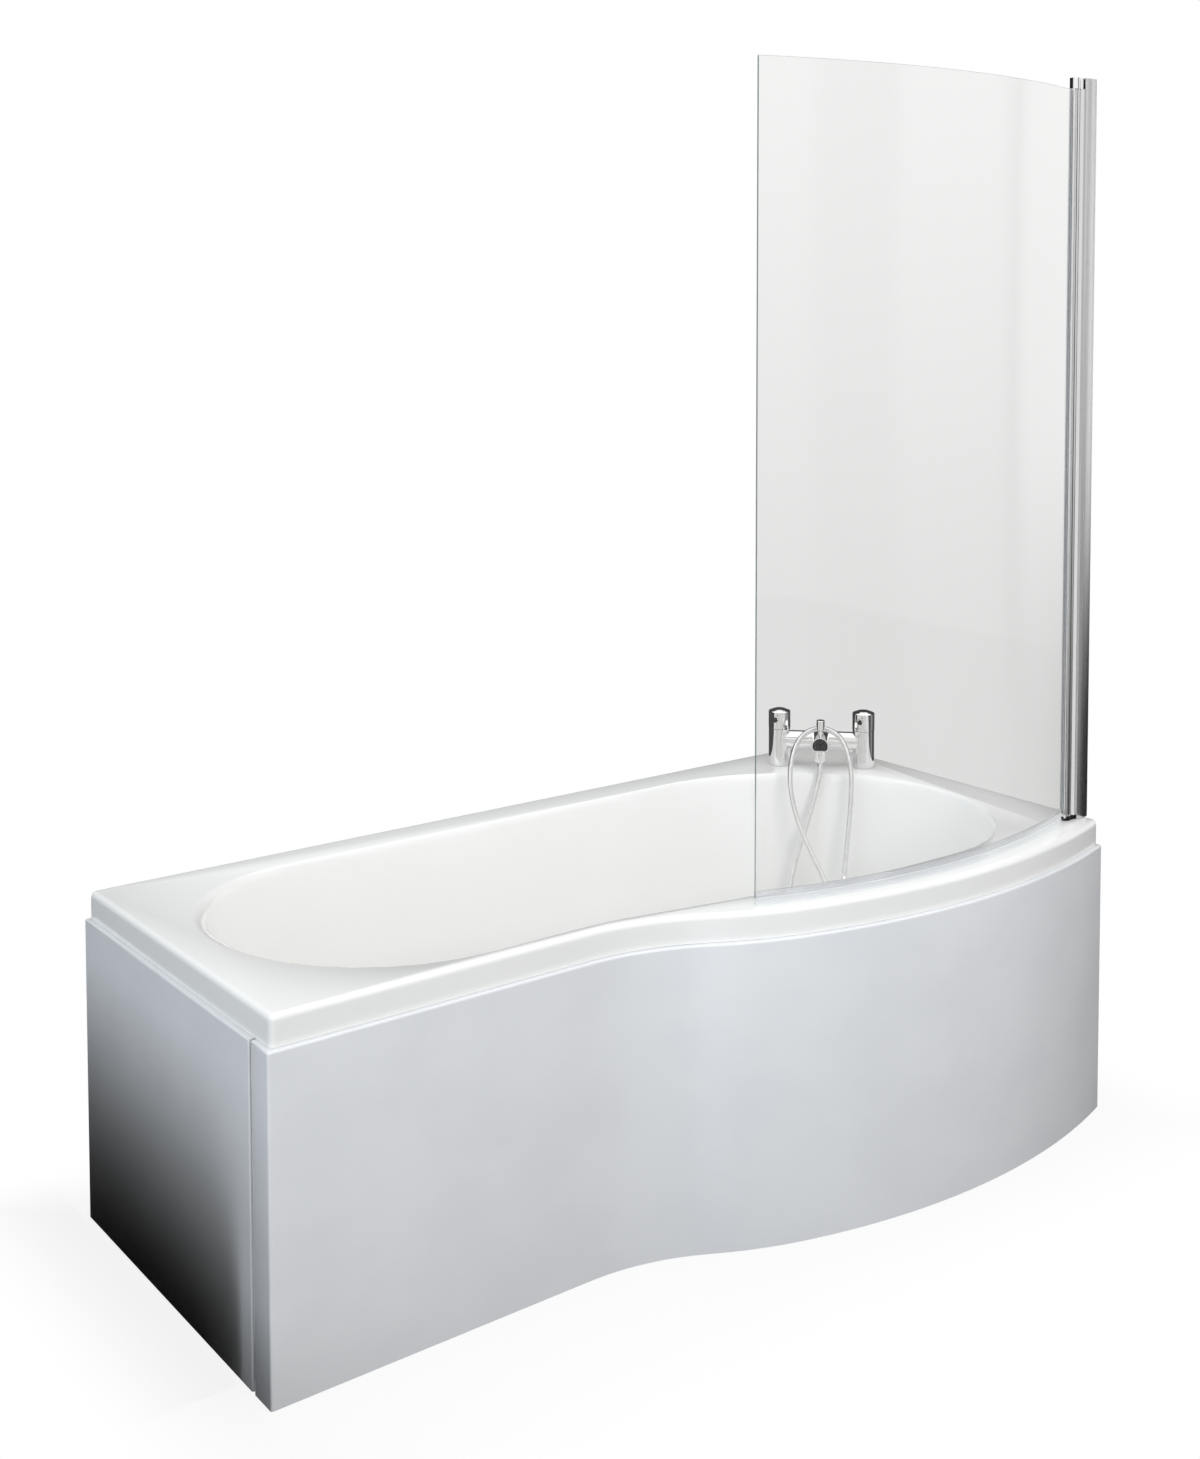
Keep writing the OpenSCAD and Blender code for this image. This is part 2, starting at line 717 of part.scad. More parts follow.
cup_t = 3;
outlet_z = -113;
outlet_len = 116;
outlet_root = trap_d / 2 + 6;
module trap_body() {
    inner_h = cup_drop + cup_top - 2 * cup_t;
    color("whitesmoke") waste_frame() difference() {
        union() {
            translate([0, 0, -cup_drop]) cylinder(d = trap_d, h = cup_drop + cup_top);
            translate([0, 0, cup_top - 1]) cylinder(d = spigot_d + 10, h = collar_h + 1);
            translate([0, 0, outlet_z]) rotate([0, 90, 0])
                cylinder(d = outlet_d, h = outlet_len);
            translate([0, 0, outlet_z]) rotate([0, 90, 0])
                cylinder(d = outlet_d + 5, h = outlet_root);
        }
        difference() {
            translate([0, 0, cup_t - cup_drop]) cylinder(d = trap_d - 2 * cup_t, h = inner_h);
            translate([0, 0, cup_top - 38]) cylinder(d = spigot_d, h = 38);
        }
        translate([0, 0, cup_top - 39]) cylinder(d = spigot_d - 6, h = 45);
        translate([0, 0, cup_top]) cylinder(d = spigot_d + 2 * fit, h = collar_h + 1);
        translate([trap_d / 2 - cup_t - 2, 0, outlet_z]) rotate([0, 90, 0])
            cylinder(d = outlet_d - 5, h = outlet_len);
        translate([0, 0, -cup_drop - 1]) cylinder(d = cap_neck + 2 * fit, h = cup_t + 2);
    }
}

cap_neck = 50;
module trap_cap() {
    color("dimgray") waste_frame() translate([0, 0, -cup_drop]) {
        translate([0, 0, -6]) cylinder(d = cap_neck + 14, h = 6);
        cylinder(d = cap_neck, h = cup_t + 1);
    }
}

// Overflow

rose_t = 7;
module overflow_rose() {
    color("silver") overflow_frame() difference() {
        rotate_extrude() polygon([[0, 3], [rose_d / 2 - 6, 3], [rose_d / 2 - 6, 0],
            [rose_d / 2, 0], [rose_d / 2, rose_t - 3], [rose_d / 2 - 3, rose_t], [0, rose_t]]);
        translate([0, 0, -1]) cylinder(d = 5.2, h = rose_t + 2);
        for (a = [0:45:315]) rotate([0, 0, a])
            translate([rose_d / 4, 0, 0]) cylinder(d = 8, h = rose_t + 2, $fn = 24);
    }
}

module overflow_screw() {
    color("silver") overflow_frame() {
        translate([0, 0, rose_t]) cylinder(d = 9, h = 2);
        translate([0, 0, -overflow_wall - 8]) cylinder(d = 5, h = overflow_wall + 8 + rose_t);
    }
}

spigot_out = 26;
module overflow_body() {
    back = overflow_wall + overflow_seal;
    spigot = bore_d - 2 * fit;
    color("whitesmoke") difference() {
        union() {
            overflow_frame() translate([0, 0, -back - overflow_body_t])
                cylinder(d = 56, h = overflow_body_t);
            overflow_spigot(spigot, 1);
        }
        overflow_frame() translate([0, 0, 3 - back - overflow_body_t]) difference() {
            cylinder(d = 48, h = overflow_body_t);
            cylinder(d = 12, h = overflow_body_t - 8);
        }
        overflow_frame() translate([0, 0, 6 - back - overflow_body_t])
            cylinder(d = 5 + 2 * fit, h = overflow_body_t);
        overflow_spigot(spigot - 5, 2);
    }
}
module overflow_spigot(d, past) {
    bath_frame() translate([overflow_x, overflow_y - overflow_out,
        rim_h - overflow_drop - 28 - spigot_out - past])
        cylinder(d = d, h = spigot_out + 14 + past);
}

pipe_bend = 48;
module overflow_pipe() {
    low = floor_z + port_z;
    high = rim_h - overflow_drop - 28 - 8;
    run = norm(pipe_plan) - pipe_bend;
    color("gainsboro") bath_frame()
        translate([overflow_x, overflow_y - overflow_out, 0]) rotate([0, 0, pipe_turn + 180]) {
            translate([0, 0, low + pipe_bend]) ring(pipe_d, bore_d, high - low - pipe_bend);
            translate([pipe_bend, 0, low + pipe_bend]) rotate([90, 0, 0])
                rotate([0, 0, 180]) rotate_extrude(angle = 90)
                    translate([pipe_bend, 0]) difference() {
                        circle(d = pipe_d);
                        circle(d = bore_d);
                    }
            translate([pipe_bend, 0, low]) rotate([0, 90, 0])
                ring(pipe_d, bore_d, run - chamber_d / 2 - 6);
        }
}

// Mixer

cartridge_d = 32;
cartridge_deep = 28;
spout_under = spout_z - spout_flat;
nipple_d = 20.4;
neck_d = 24.6;
neck_h = 8;
waterway = 26;

module spout_shape(r, flat, length) {
    difference() {
        rotate([90, 0, 0]) cylinder(r = r, h = length);
        translate([-2 * r, -length - 1, -2 * r - flat]) cube([4 * r, length + 2, 2 * r]);
    }
}

nozzle_wall = 2;
nozzle_deep = 12;
module mixer_body() {
    color("silver") mixer_frame() difference() {
        union() {
            each_pillar() translate([0, 0, gasket_t])
                cylinder(d = pillar_d, h = pillar_h - gasket_t);
            translate([-pillar_gap / 2, 0, bar_z]) rotate([0, 90, 0])
                cylinder(d = bar_d, h = pillar_gap);
            translate([0, 0, spout_z]) spout_shape(spout_d / 2, spout_flat, spout_len);
            translate([0, -outlet_out, spout_under - neck_h])
                cylinder(d = neck_d, h = neck_h + 4);
        }
        each_pillar() {
            translate([0, 0, pillar_h - cartridge_deep])
                cylinder(d = cartridge_d + 2 * fit, h = cartridge_deep + 1);
            cylinder(d = tail_d + 2 * fit, h = gasket_t + 14);
            cylinder(d = 18, h = pillar_h);
        }
        translate([-pillar_gap / 2, 0, bar_z - 2]) rotate([0, 90, 0])
            cylinder(d = waterway - 6, h = pillar_gap);
        translate([0, 0, spout_z]) rotate([90, 0, 0])
            cylinder(d = waterway - 6, h = spout_len + 1);
        translate([0, nozzle_deep - spout_len, spout_z])
            spout_shape(spout_d / 2 - nozzle_wall, spout_flat - nozzle_wall, nozzle_deep + 1);
        translate([0, -diverter_out, spout_z])
            cylinder(d = diverter_stem + 2 * running, h = spout_d);
        translate([0, -outlet_out, spout_under - neck_h - 1])
            cylinder(d = nipple_d - 4, h = neck_h + spout_flat + 1);
    }
}

module pillar_gaskets() {
    color("dimgray") mixer_frame() each_pillar() ring(pillar_d + 4, tail_d + 2 * fit, gasket_t);
}

// Free end of a tail, under its nut, which takes the pipe's connector
tap_washer_t = 3;
tail_end_d = tail_d - 0.4;
tail_end_h = tail_drop - shell_t - tap_washer_t - nut_h;
module tap_tails() {
    color("gold") mixer_frame() each_pillar() translate([0, 0, -tail_drop]) difference() {
        union() {
            cylinder(d = tail_end_d, h = tail_end_h + 1);
            translate([0, 0, tail_end_h]) cylinder(d = tail_d, h = tail_drop + gasket_t + 12
                - tail_end_h);
        }
        translate([0, 0, -1]) cylinder(d = tail_d - 6, h = tail_drop + gasket_t + 14);
    }
}

module tap_washers() {
    color("dimgray") mixer_frame() each_pillar()
        translate([0, 0, -shell_t - tap_washer_t]) ring(44, tail_d + 2 * fit, tap_washer_t);
}

module tap_backnuts() {
    color("gold") mixer_frame() each_pillar()
        translate([0, 0, -shell_t - tap_washer_t - nut_h])
            hex_nut(38, tail_d + 2 * fit, nut_h);
}

spindle_d = 9;
spindle_h = 20;
spindle_deep = 16;
module cartridge(side) {
    color("gold") mixer_frame() translate([side * pillar_gap / 2, 0, 0]) difference() {
        union() {
            translate([0, 0, pillar_h - cartridge_deep])
                cylinder(d = cartridge_d, h = cartridge_deep);
            translate([0, 0, pillar_h - 1]) cylinder(d = spindle_d + 6, h = 4);
        }
        translate([0, 0, pillar_h - spindle_deep - seat])
            cylinder(d = spindle_d + 2 * running, h = spindle_deep + 5);
    }
}
module tap_cartridges() for (side = [-1, 1]) cartridge(side);

module spindle(side) {
    color("gold") mixer_frame() translate([side * pillar_gap / 2, 0, pillar_h - spindle_deep])
        cylinder(d = spindle_d, h = spindle_deep + spindle_h);
}
module hot_spindle() spindle(-1);
module cold_spindle() spindle(1);

handle_gap = 0.6;
lever_d = 10;
lever_z = 23;
lever_out = 14;
lever_in = 7;
lever_turn = -12;
module handle(side) {
    r = handle_d / 2;
    dome = 5;
    skirt = 12;
    color("silver") mixer_frame() translate([side * pillar_gap / 2, 0, pillar_h + handle_gap])
        difference() {
            rotate_extrude() polygon([[0, 0], [r - 0.5, 0], [r, 0.5], [r, handle_h - dome - 1],
                [r - 1, handle_h - dome], [r / 2, handle_h - 0.7], [0, handle_h]]);
            translate([0, 0, -1]) cylinder(d = handle_d - 10, h = skirt + 1);
            cylinder(d = spindle_d + 2 * fit, h = spindle_h + 1);
            rotate([0, 0, lever_turn]) translate([0, lever_in - r, lever_z])
                rotate([90, 0, 0]) cylinder(d = lever_d + 2 * fit, h = r);
        }
}
module hot_handle() handle(-1);
module cold_handle() handle(1);

module lever(side) {
    r = handle_d / 2;
    color("silver") mixer_frame()
        translate([side * pillar_gap / 2, 0, pillar_h + handle_gap + lever_z])
            rotate([0, 0, lever_turn]) translate([0, lever_in - r - fit, 0]) rotate([90, 0, 0]) {
                cylinder(d = lever_d, h = lever_in + lever_out - 1);
                translate([0, 0, lever_in + lever_out - 1])
                    cylinder(d1 = lever_d, d2 = lever_d - 1, h = 1);
            }
}
module hot_lever() lever(-1);
module cold_lever() lever(1);

diverter_stem = 8;
diverter_h = 30;
valve_d = 12;
module diverter_knob() {
    top = spout_z + spout_d / 2 + seat;
    r = diverter_d / 2;
    color("silver") mixer_frame() translate([0, -diverter_out, 0]) {
        translate([0, 0, top]) rotate_extrude() polygon([[0, 0], [5.5, 0], [5.5, 7],
            [r - 1, 9], [r, 10], [r, diverter_h - 1], [r - 1, diverter_h], [0, diverter_h]]);
        translate([0, 0, spout_z - 4]) cylinder(d = diverter_stem, h = top - spout_z + 4);
    }
}

module diverter_valve() {
    color("dimgray") mixer_frame() translate([0, -diverter_out, spout_z - 7])
        cylinder(d = valve_d, h = 3);
}

module spout_nozzle() {
    slack = nozzle_wall + fit;
    color("black") mixer_frame() translate([0, nozzle_deep - spout_len - 1, spout_z])
        difference() {
            spout_shape(spout_d / 2 - slack, spout_flat - slack, nozzle_deep - 2);
            for (x = [-9:4.5:9]) translate([x - 1, -nozzle_deep, -6])
                cube([2, nozzle_deep + 1, 12]);
        }
}

nipple_drop = 12;
module hose_outlet() {
    bore = 11;
    color("gold") mixer_frame() translate([0, -outlet_out, spout_under - neck_h - nipple_drop])
        difference() {
            union() {
                cylinder(d = nipple_d, h = nipple_drop);
                cylinder(d = nipple_d - 4 - 2 * fit, h = nipple_drop + neck_h);
            }
            translate([0, 0, -1]) cylinder(d = bore, h = nipple_drop + neck_h + 2);
        }
}

hose_nut_d = 23;
hose_nut_h = 18;
nut_base = spout_under - neck_h - seat - hose_nut_h;
module hose_nut() {
    r = hose_nut_d / 2;
    color("silver") mixer_frame() translate([0, -outlet_out, nut_base]) difference() {
        rotate_extrude() polygon([[0, 0], [r - 4, 0], [r - 1, 3], [r, 6], [r, hose_nut_h - 1],
            [r - 1, hose_nut_h], [0, hose_nut_h]]);
        translate([0, 0, hose_nut_h - nipple_drop]) cylinder(d = nipple_d + 2 * fit, h = 20);
        translate([0, 0, -1]) cylinder(d = hose_bore, h = 20);
    }
}

// Hose: its route in the mixer's frame, from the outlet to the hand shower.
// Heights below the rim keep their share of the basin's depth.
drop_scale = basin_depth / 400;
route = [
    [0, 82, 27.7], [0, 82, 16], [-1, 83, 2], [-6.6, 88.4, -26], [-16.1, 97.7, -61.9],
    [-28.4, 109.1, -102.3], [-42.7, 122, -149.4], [-53.8, 131.9, -190.3], [-60.9, 140.8, -230.2],
    [-65.9, 150, -270.3], [-72.4, 162.8, -310.1], [-81.1, 182, -345.4], [-88, 208.2, -372.8],
    [-84.4, 236.8, -387.7], [-70.1, 258.7, -392.9], [-47.5, 271.6, -391.7], [-23.6, 273.6, -383.1],
    [-2.7, 264.9, -365.8], [10.2, 245.3, -336], [20.3, 226.3, -298.5], [25.8, 211.9, -258],
    [22.2, 198.5, -218.6], [7.9, 183.9, -182.7], [-13.2, 168.2, -145.7], [-33, 153.1, -108],
    [-48.4, 140.2, -70.1], [-58.6, 128.4, -32.5], [-62, 115.6, 0.8], [-59.5, 97.6, 33.4],
    [-51, 77.1, 61], [-36.8, 60.3, 78.6], [-19.3, 51, 87.9], [1, 47.8, 90.9], [21.5, 50.9, 87.6],
    [39.5, 60.1, 77.4], [53.7, 75.9, 57.4], [62.5, 92.3, 29.1], [65.8, 104.3, -3.7],
    [64.8, 112.2, -45.3], [61.1, 120.7, -94.9], [57, 130.5, -139.3], [54.1, 139.2, -171.3],
    [53, 144.8, -184], [53, 150, -193]];
function route_point(p) = [p[0], -p[1], p[2] < 0 ? p[2] * drop_scale : p[2]];

// Smooth curve through the route's points
function spline(a, b, c, d, t) = 0.5 * (2 * b + (c - a) * t
    + (2 * a - 5 * b + 4 * c - d) * t * t + (3 * b - a - 3 * c + d) * t * t * t);
hose_knots = [for (p = route) route_point(p)];
hose_last = len(hose_knots) - 1;
function knot(i) = hose_knots[max(0, min(hose_last, i))];
function hose_at(s) =
    let (i = min(floor(s), hose_last - 1))
    spline(knot(i - 1), knot(i), knot(i + 1), knot(i + 2), s - i);

// Even steps along the curve
fine = 8;
fine_points = [for (i = [0:hose_last * fine]) hose_at(i / fine)];
fine_steps = [for (i = [1:len(fine_points) - 1]) norm(fine_points[i] - fine_points[i - 1])];
fine_sums = [for (i = 0, s = 0; i <= len(fine_steps); s = s + fine_steps[min(i,
    len(fine_steps) - 1)], i = i + 1) s];
hose_len = fine_sums[len(fine_sums) - 1];
function along(d) = let (x = min(d, hose_len - 0.001), i = search_sum(x, 0, len(fine_steps)))
    fine_points[i] + (fine_points[i + 1] - fine_points[i]) * (x - fine_sums[i]) / fine_steps[i];
function search_sum(x, low, high) = high - low <= 1 ? low
    : let (m = floor((low + high) / 2))
        fine_sums[m] <= x ? search_sum(x, m, high) : search_sum(x, low, m);
echo(hose_length = hose_len);
coarse = [for (d = [0:12:hose_len]) along(d)];
echo(hose_least_gap = min([for (i = [0:len(coarse) - 5], j = [i + 4:len(coarse) - 1])
    norm(coarse[i] - coarse[j])]) - hose_d);

// Cross-sections turned as little as possible from one to the next
function across(v, along_dir) = unit(v - (v * along_dir) * along_dir);
function directions(pts) = let (n = len(pts))
    [for (i = [0:n - 1]) unit(pts[min(i + 1, n - 1)] - pts[max(i - 1, 0)])];
function sides_of(dirs) =
    [for (i = 0, s = across([1, 0, 0], dirs[0]); i < len(dirs);
        i = i + 1, s = across(s, dirs[min(i, len(dirs) - 1)])) s];
function circle_at(p, dir, side, r, n) = let (up = cross(dir, side))
    [for (k = [0:n - 1]) p + r * (cos(360 * k / n) * side + sin(360 * k / n) * up)];

hose_ribs = 190;
rib_h = 0.5;
hose_sides = 8;
bore_rings = 76;
module tube_faces(outer, inner) {
    n = hose_sides;
    a = len(outer);
    b = len(inner);
    points = concat([for (r = outer) each r], [for (r = inner) each r]);
    skin = [for (k = [0:a - 2], i = [0:n - 1]) let (j = (i + 1) % n)
        each [[k * n + i, (k + 1) * n + i, (k + 1) * n + j], [k * n + i, (k + 1) * n + j, k * n + j]]];
    bore = [for (k = [0:b - 2], i = [0:n - 1]) let (j = (i + 1) % n, o = a * n)
        each [[o + k * n + i, o + (k + 1) * n + j, o + (k + 1) * n + i],
            [o + k * n + i, o + k * n + j, o + (k + 1) * n + j]]];
    ends = [for (i = [0:n - 1]) let (j = (i + 1) % n, o = a * n, p = (a - 1) * n, q = o + (b - 1) * n)
        each [[i, j, o + j], [i, o + j, o + i], [p + i, q + j, p + j], [p + i, q + i, q + j]]];
    polyhedron(points = points, faces = concat(skin, bore, ends), convexity = 20);
}

module shower_hose() {
    count = 2 * hose_ribs;
    plain = hose_d;
    outer_d = [for (k = [0:count - 1]) plain + (hose_len - 2 * plain) * k / (count - 1)];
    outer_p = concat([along(0)], [for (d = outer_d) along(d)], [along(hose_len)]);
    outer_r = concat([hose_d / 2 - rib_h], [for (k = [0:count - 1])
        hose_d / 2 - (k % 2 == 0 ? 0 : rib_h)], [hose_d / 2 - rib_h]);
    outer_dir = directions(outer_p);
    outer_side = sides_of(outer_dir);
    inner_p = [for (k = [0:bore_rings]) along(hose_len * k / bore_rings)];
    inner_dir = directions(inner_p);
    inner_side = sides_of(inner_dir);
    color("silver") mixer_frame() tube_faces(
        [for (i = [0:len(outer_p) - 1])
            circle_at(outer_p[i], outer_dir[i], outer_side[i], outer_r[i], hose_sides)],
        [for (i = [0:bore_rings])
            circle_at(inner_p[i], inner_dir[i], inner_side[i], hose_bore / 2, hose_sides)]);
}

// Hand shower: it leans from the hose's end to the basin floor
hose_end = hose_knots[hose_last];
cone_len = 30;
hand_len = cone_len + seat + grip_len + head_d;
hand_drop = basin_depth - seat + hose_end[2];
hand_reach = norm([hand_len, head_t / 2]);
hand_tilt = atan(head_t / 2 / hand_len) + acos(min(1, hand_drop / hand_reach));
module hand_frame()
    mixer_frame() translate(hose_end) rotate([180 - hand_tilt, 0, 0]) children();

module cone_nut() {
    color("silver") hand_frame() translate([0, 0, seat]) difference() {
        rotate_extrude() polygon([[0, 0], [hose_d / 2 + 1, 0], [grip_d / 2 - 1, cone_len - 8],
            [grip_d / 2, cone_len - 6], [grip_d / 2, cone_len], [0, cone_len]]);
        translate([0, 0, cone_len - 12]) cylinder(d = 19 + 2 * fit, h = 13);
        translate([0, 0, -1]) cylinder(d = hose_bore, h = cone_len);
    }
}

module shower_handle() {
    head_z = hand_len - head_d / 2;
    grip_top = head_z - head_d / 2 + 8;
    color("silver") hand_frame() difference() {
        union() {
            translate([0, 0, cone_len - 10]) cylinder(d = 19, h = 12);
            translate([0, 0, cone_len + 2 * seat])
                cylinder(d1 = grip_d - 2, d2 = grip_d, h = grip_top - cone_len);
            translate([0, head_t / 2, head_z]) rotate([90, 0, 0])
                cylinder(d = head_d, h = head_t);
        }
        translate([0, 0, cone_len - 12]) cylinder(d = 12, h = grip_len);
        translate([0, head_t / 2 + 1, head_z]) rotate([90, 0, 0])
            cylinder(d = head_d - 8, h = head_t - 3);
    }
}

module shower_face() {
    head_z = hand_len - head_d / 2;
    color("dimgray") hand_frame() difference() {
        translate([0, head_t / 2 - 1, head_z]) rotate([90, 0, 0])
            cylinder(d = head_d - 8 - 2 * fit, h = 4);
        for (r = [8, 16, 24], a = [0:360 / (r * 0.75):359])
            translate([r * cos(a), head_t / 2, head_z + r * sin(a)]) rotate([90, 0, 0])
                cylinder(d = 2, h = 6, $fn = 16);
    }
}

// Screen

hinge_z = 9;
hinge_top = channel_h - 21;
channel_x = hinge_from_tap;
inner_lip = hinge_d / 2 + seat;
module wall_channel() {
    inside = channel_w - 2 * channel_t;
    color("silver") hinge_frame() translate([channel_x - channel_deep, -12, 1]) difference() {
        cube([channel_deep, channel_w, channel_h - 1]);
        translate([-1, channel_t, -1])
            cube([channel_deep - channel_t + 1, inside, channel_h + 1]);
        for (z = wall_screw_z)
            translate([0, channel_w / 2, z]) rotate([0, 90, 0])
                cylinder(d = 5.5, h = channel_deep + 1);
        for (z = side_screw_z)
            translate([8, channel_t + inside - 1, z]) rotate([-90, 0, 0])
                cylinder(d = 4.2, h = channel_t + 2);
    }
}
wall_screw_z = [100, 500, 900, 1300];
side_screw_z = [200, 700, 1200];
side_screw_x = channel_x - channel_deep + 8;

inner_cut = 4.5;
module inner_profile() {
    w = channel_w - 2 * channel_t - 2 * fit;
    deep = channel_x - inner_lip - channel_t - 12;
    outline = [[inner_cut, 0], [deep, 0], [deep, w], [inner_cut, w], [0, w - inner_cut],
        [0, inner_cut]];
    color("gainsboro") hinge_frame()
        translate([inner_lip, channel_t + fit - 12, 0]) difference() {
            translate([0, 0, hinge_z]) linear_extrude(hinge_top - hinge_z) polygon(outline);
            translate([0, 0, hinge_z - 1]) linear_extrude(channel_h)
                offset(delta = -1.6) polygon(outline);
            for (z = side_screw_z)
                translate([side_screw_x - inner_lip, w - 3, z + 1])
                    rotate([-90, 0, 0]) cylinder(d = 4.2, h = 4);
        }
}

module channel_screws() {
    color("silver") hinge_frame() for (z = side_screw_z)
        translate([side_screw_x, channel_w - 12, z + 1])
            rotate([90, 0, 0]) {
                cylinder(d = 4, h = 6);
                translate([0, 0, -2]) cylinder(d = 8, h = 2);
            }
}

bracket_x = 26;
bracket_w = 15;
module bracket(z, h, d) {
    translate([0, 0, z]) cylinder(d = d, h = h);
    translate([0, -bracket_w / 2, z]) cube([bracket_x, bracket_w, h]);
}

module top_bracket() {
    color("silver") hinge_frame() difference() {
        bracket(hinge_top + seat, channel_h - hinge_top - seat, hinge_d + 2);
        translate([0, 0, hinge_top - 1]) cylinder(d = pin_d + 2 * fit, h = 16);
    }
}

module bottom_bracket() {
    color("black") hinge_frame() difference() {
        bracket(0.5, hinge_z - 0.5 - seat, hinge_d + 1);
        translate([0, 0, 2]) cylinder(d = pin_d + 2 * fit, h = 16);
    }
}

pin_len = 26;
module hinge_pins() {
    color("silver") hinge_frame() {
        translate([0, 0, 2]) cylinder(d = pin_d, h = pin_len);
        translate([0, 0, hinge_top + 14 - pin_len]) cylinder(d = pin_d, h = pin_len);
    }
}

clamp_end = 24;
clamp_w = 13;
slot_w = glass_t + 3.4;
slot_in = 12;
module hinge_profile() {
    h = hinge_top - hinge_z;
    color("silver") screen_frame() translate([0, 0, hinge_z]) difference() {
        union() {
            cylinder(d = hinge_d, h = h);
            translate([-clamp_end, -clamp_w / 2, 0]) cube([clamp_end, clamp_w, h]);
        }
        translate([0, 0, -1]) cylinder(d = pin_d + 2 * running, h = h + 2);
        translate([-clamp_end - 1, -slot_w / 2, -1]) cube([clamp_end - slot_in + 1, slot_w, h + 2]);
    }
}

// The glass lies on a circle through the hinge, so its middle is square to the screen's X
module on_curve() screen_frame() translate([0, glass_r, 0]) children();
glass_in = 14;
arc_in = glass_in / glass_r * 180 / PI;
module curved_bar(r0, r1, a0, a1, h) {
    rotate([0, 0, -90 - a1]) rotate_extrude(angle = a1 - a0, $fn = 128)
        translate([r0, 0]) square([r1 - r0, h]);
}

module screen_glass() {
    color("lightcyan", 0.5) on_curve() translate([0, 0, glass_lift])
        curved_bar(glass_r - glass_t / 2, glass_r + glass_t / 2, arc_in, glass_angle, glass_h);
}

gasket_len = 16;
module glass_gasket() {
    a1 = arc_in + gasket_len / glass_r * 180 / PI;
    near = glass_t / 2 + seat;
    color("whitesmoke", 0.6) on_curve() translate([0, 0, glass_lift + 12]) {
        h = glass_h - 12;
        curved_bar(glass_r - near - 1, glass_r - near, arc_in, a1, h);
        curved_bar(glass_r + near, glass_r + near + 1, arc_in, a1, h);
    }
}

seal_h = 22;
seal_skin = 1.5;
module screen_seal() {
    a0 = arc_in + 1.1;
    r0 = glass_r - glass_t / 2 - seat;
    r1 = glass_r + glass_t / 2 + seat;
    color("whitesmoke", 0.6) on_curve() translate([0, 0, 1]) {
        curved_bar(r1, r1 + seal_skin, a0, glass_angle, seal_h);
        curved_bar(r0 - seal_skin, r0, a0, glass_angle, seal_h);
        translate([0, 0, glass_lift - 1 - seal_skin - seat])
            curved_bar(r0 - 0.5, r1 + 0.5, a0, glass_angle, seal_skin);
    }
}

bath_rim();
bath_head_wall();
bath_tap_wall();
bath_bow_wall();
bath_floor();
base_board();
rim_battens();
cradle_rails();
rail_screws();
centre_leg_plate();
leg_rods();
leg_nuts();
leg_feet();
front_panel();
end_panel();
floor_battens();
panel_screws();
waste_flange();
drain_gaskets();
waste_plug();
plug_seal();
waste_body();
trap_nut();
trap_body();
trap_cap();
overflow_rose();
overflow_screw();
overflow_body();
overflow_pipe();
mixer_body();
pillar_gaskets();
tap_tails();
tap_washers();
tap_backnuts();
tap_cartridges();
hot_spindle();
cold_spindle();
hot_handle();
cold_handle();
hot_lever();
cold_lever();
diverter_knob();
diverter_valve();
spout_nozzle();
hose_outlet();
hose_nut();
shower_hose();
cone_nut();
shower_handle();
shower_face();
wall_channel();
inner_profile();
channel_screws();
top_bracket();
bottom_bracket();
hinge_pins();
hinge_profile();
glass_gasket();
screen_glass();
screen_seal();
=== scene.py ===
"""Shower bath with its curved screen, pillar mixer and hand shower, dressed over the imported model.

Lengths are in metres. X runs along the wall to the tap end, Y from the room to the wall, Z up.
"""

import json
import math

import bmesh
import bpy
from mathutils import Matrix, Vector


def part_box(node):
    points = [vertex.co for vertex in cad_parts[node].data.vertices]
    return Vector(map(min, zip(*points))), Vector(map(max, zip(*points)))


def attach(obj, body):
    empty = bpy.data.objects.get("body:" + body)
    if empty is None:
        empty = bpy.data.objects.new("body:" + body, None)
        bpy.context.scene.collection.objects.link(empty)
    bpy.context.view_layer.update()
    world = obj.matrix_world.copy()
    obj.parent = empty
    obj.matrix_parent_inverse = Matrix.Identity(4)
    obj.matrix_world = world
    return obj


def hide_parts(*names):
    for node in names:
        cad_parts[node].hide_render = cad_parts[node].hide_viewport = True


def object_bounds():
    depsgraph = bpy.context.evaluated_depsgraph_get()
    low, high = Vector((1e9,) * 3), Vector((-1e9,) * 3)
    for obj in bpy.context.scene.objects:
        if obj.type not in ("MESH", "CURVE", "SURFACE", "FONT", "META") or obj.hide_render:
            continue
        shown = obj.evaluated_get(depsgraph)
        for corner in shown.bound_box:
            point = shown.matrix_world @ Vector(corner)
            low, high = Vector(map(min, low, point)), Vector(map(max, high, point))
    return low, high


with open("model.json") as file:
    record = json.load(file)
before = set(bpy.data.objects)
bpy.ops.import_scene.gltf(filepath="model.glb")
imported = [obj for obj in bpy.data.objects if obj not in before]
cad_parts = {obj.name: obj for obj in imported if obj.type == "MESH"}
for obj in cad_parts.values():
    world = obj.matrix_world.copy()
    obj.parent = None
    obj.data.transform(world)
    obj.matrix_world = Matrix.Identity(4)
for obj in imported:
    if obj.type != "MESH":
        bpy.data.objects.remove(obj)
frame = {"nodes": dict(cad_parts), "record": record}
NODES = frame["nodes"]
cad_low, cad_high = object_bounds()

# Sizes read from the frame
RIM_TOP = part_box("bath_rim")[1].z
PILLARS_LOW, PILLARS_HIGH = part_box("pillar_gaskets")
MIXER = Vector(
    ((PILLARS_LOW.x + PILLARS_HIGH.x) / 2, (PILLARS_LOW.y + PILLARS_HIGH.y) / 2, RIM_TOP)
)
MIXER_TURN = math.radians(-45)

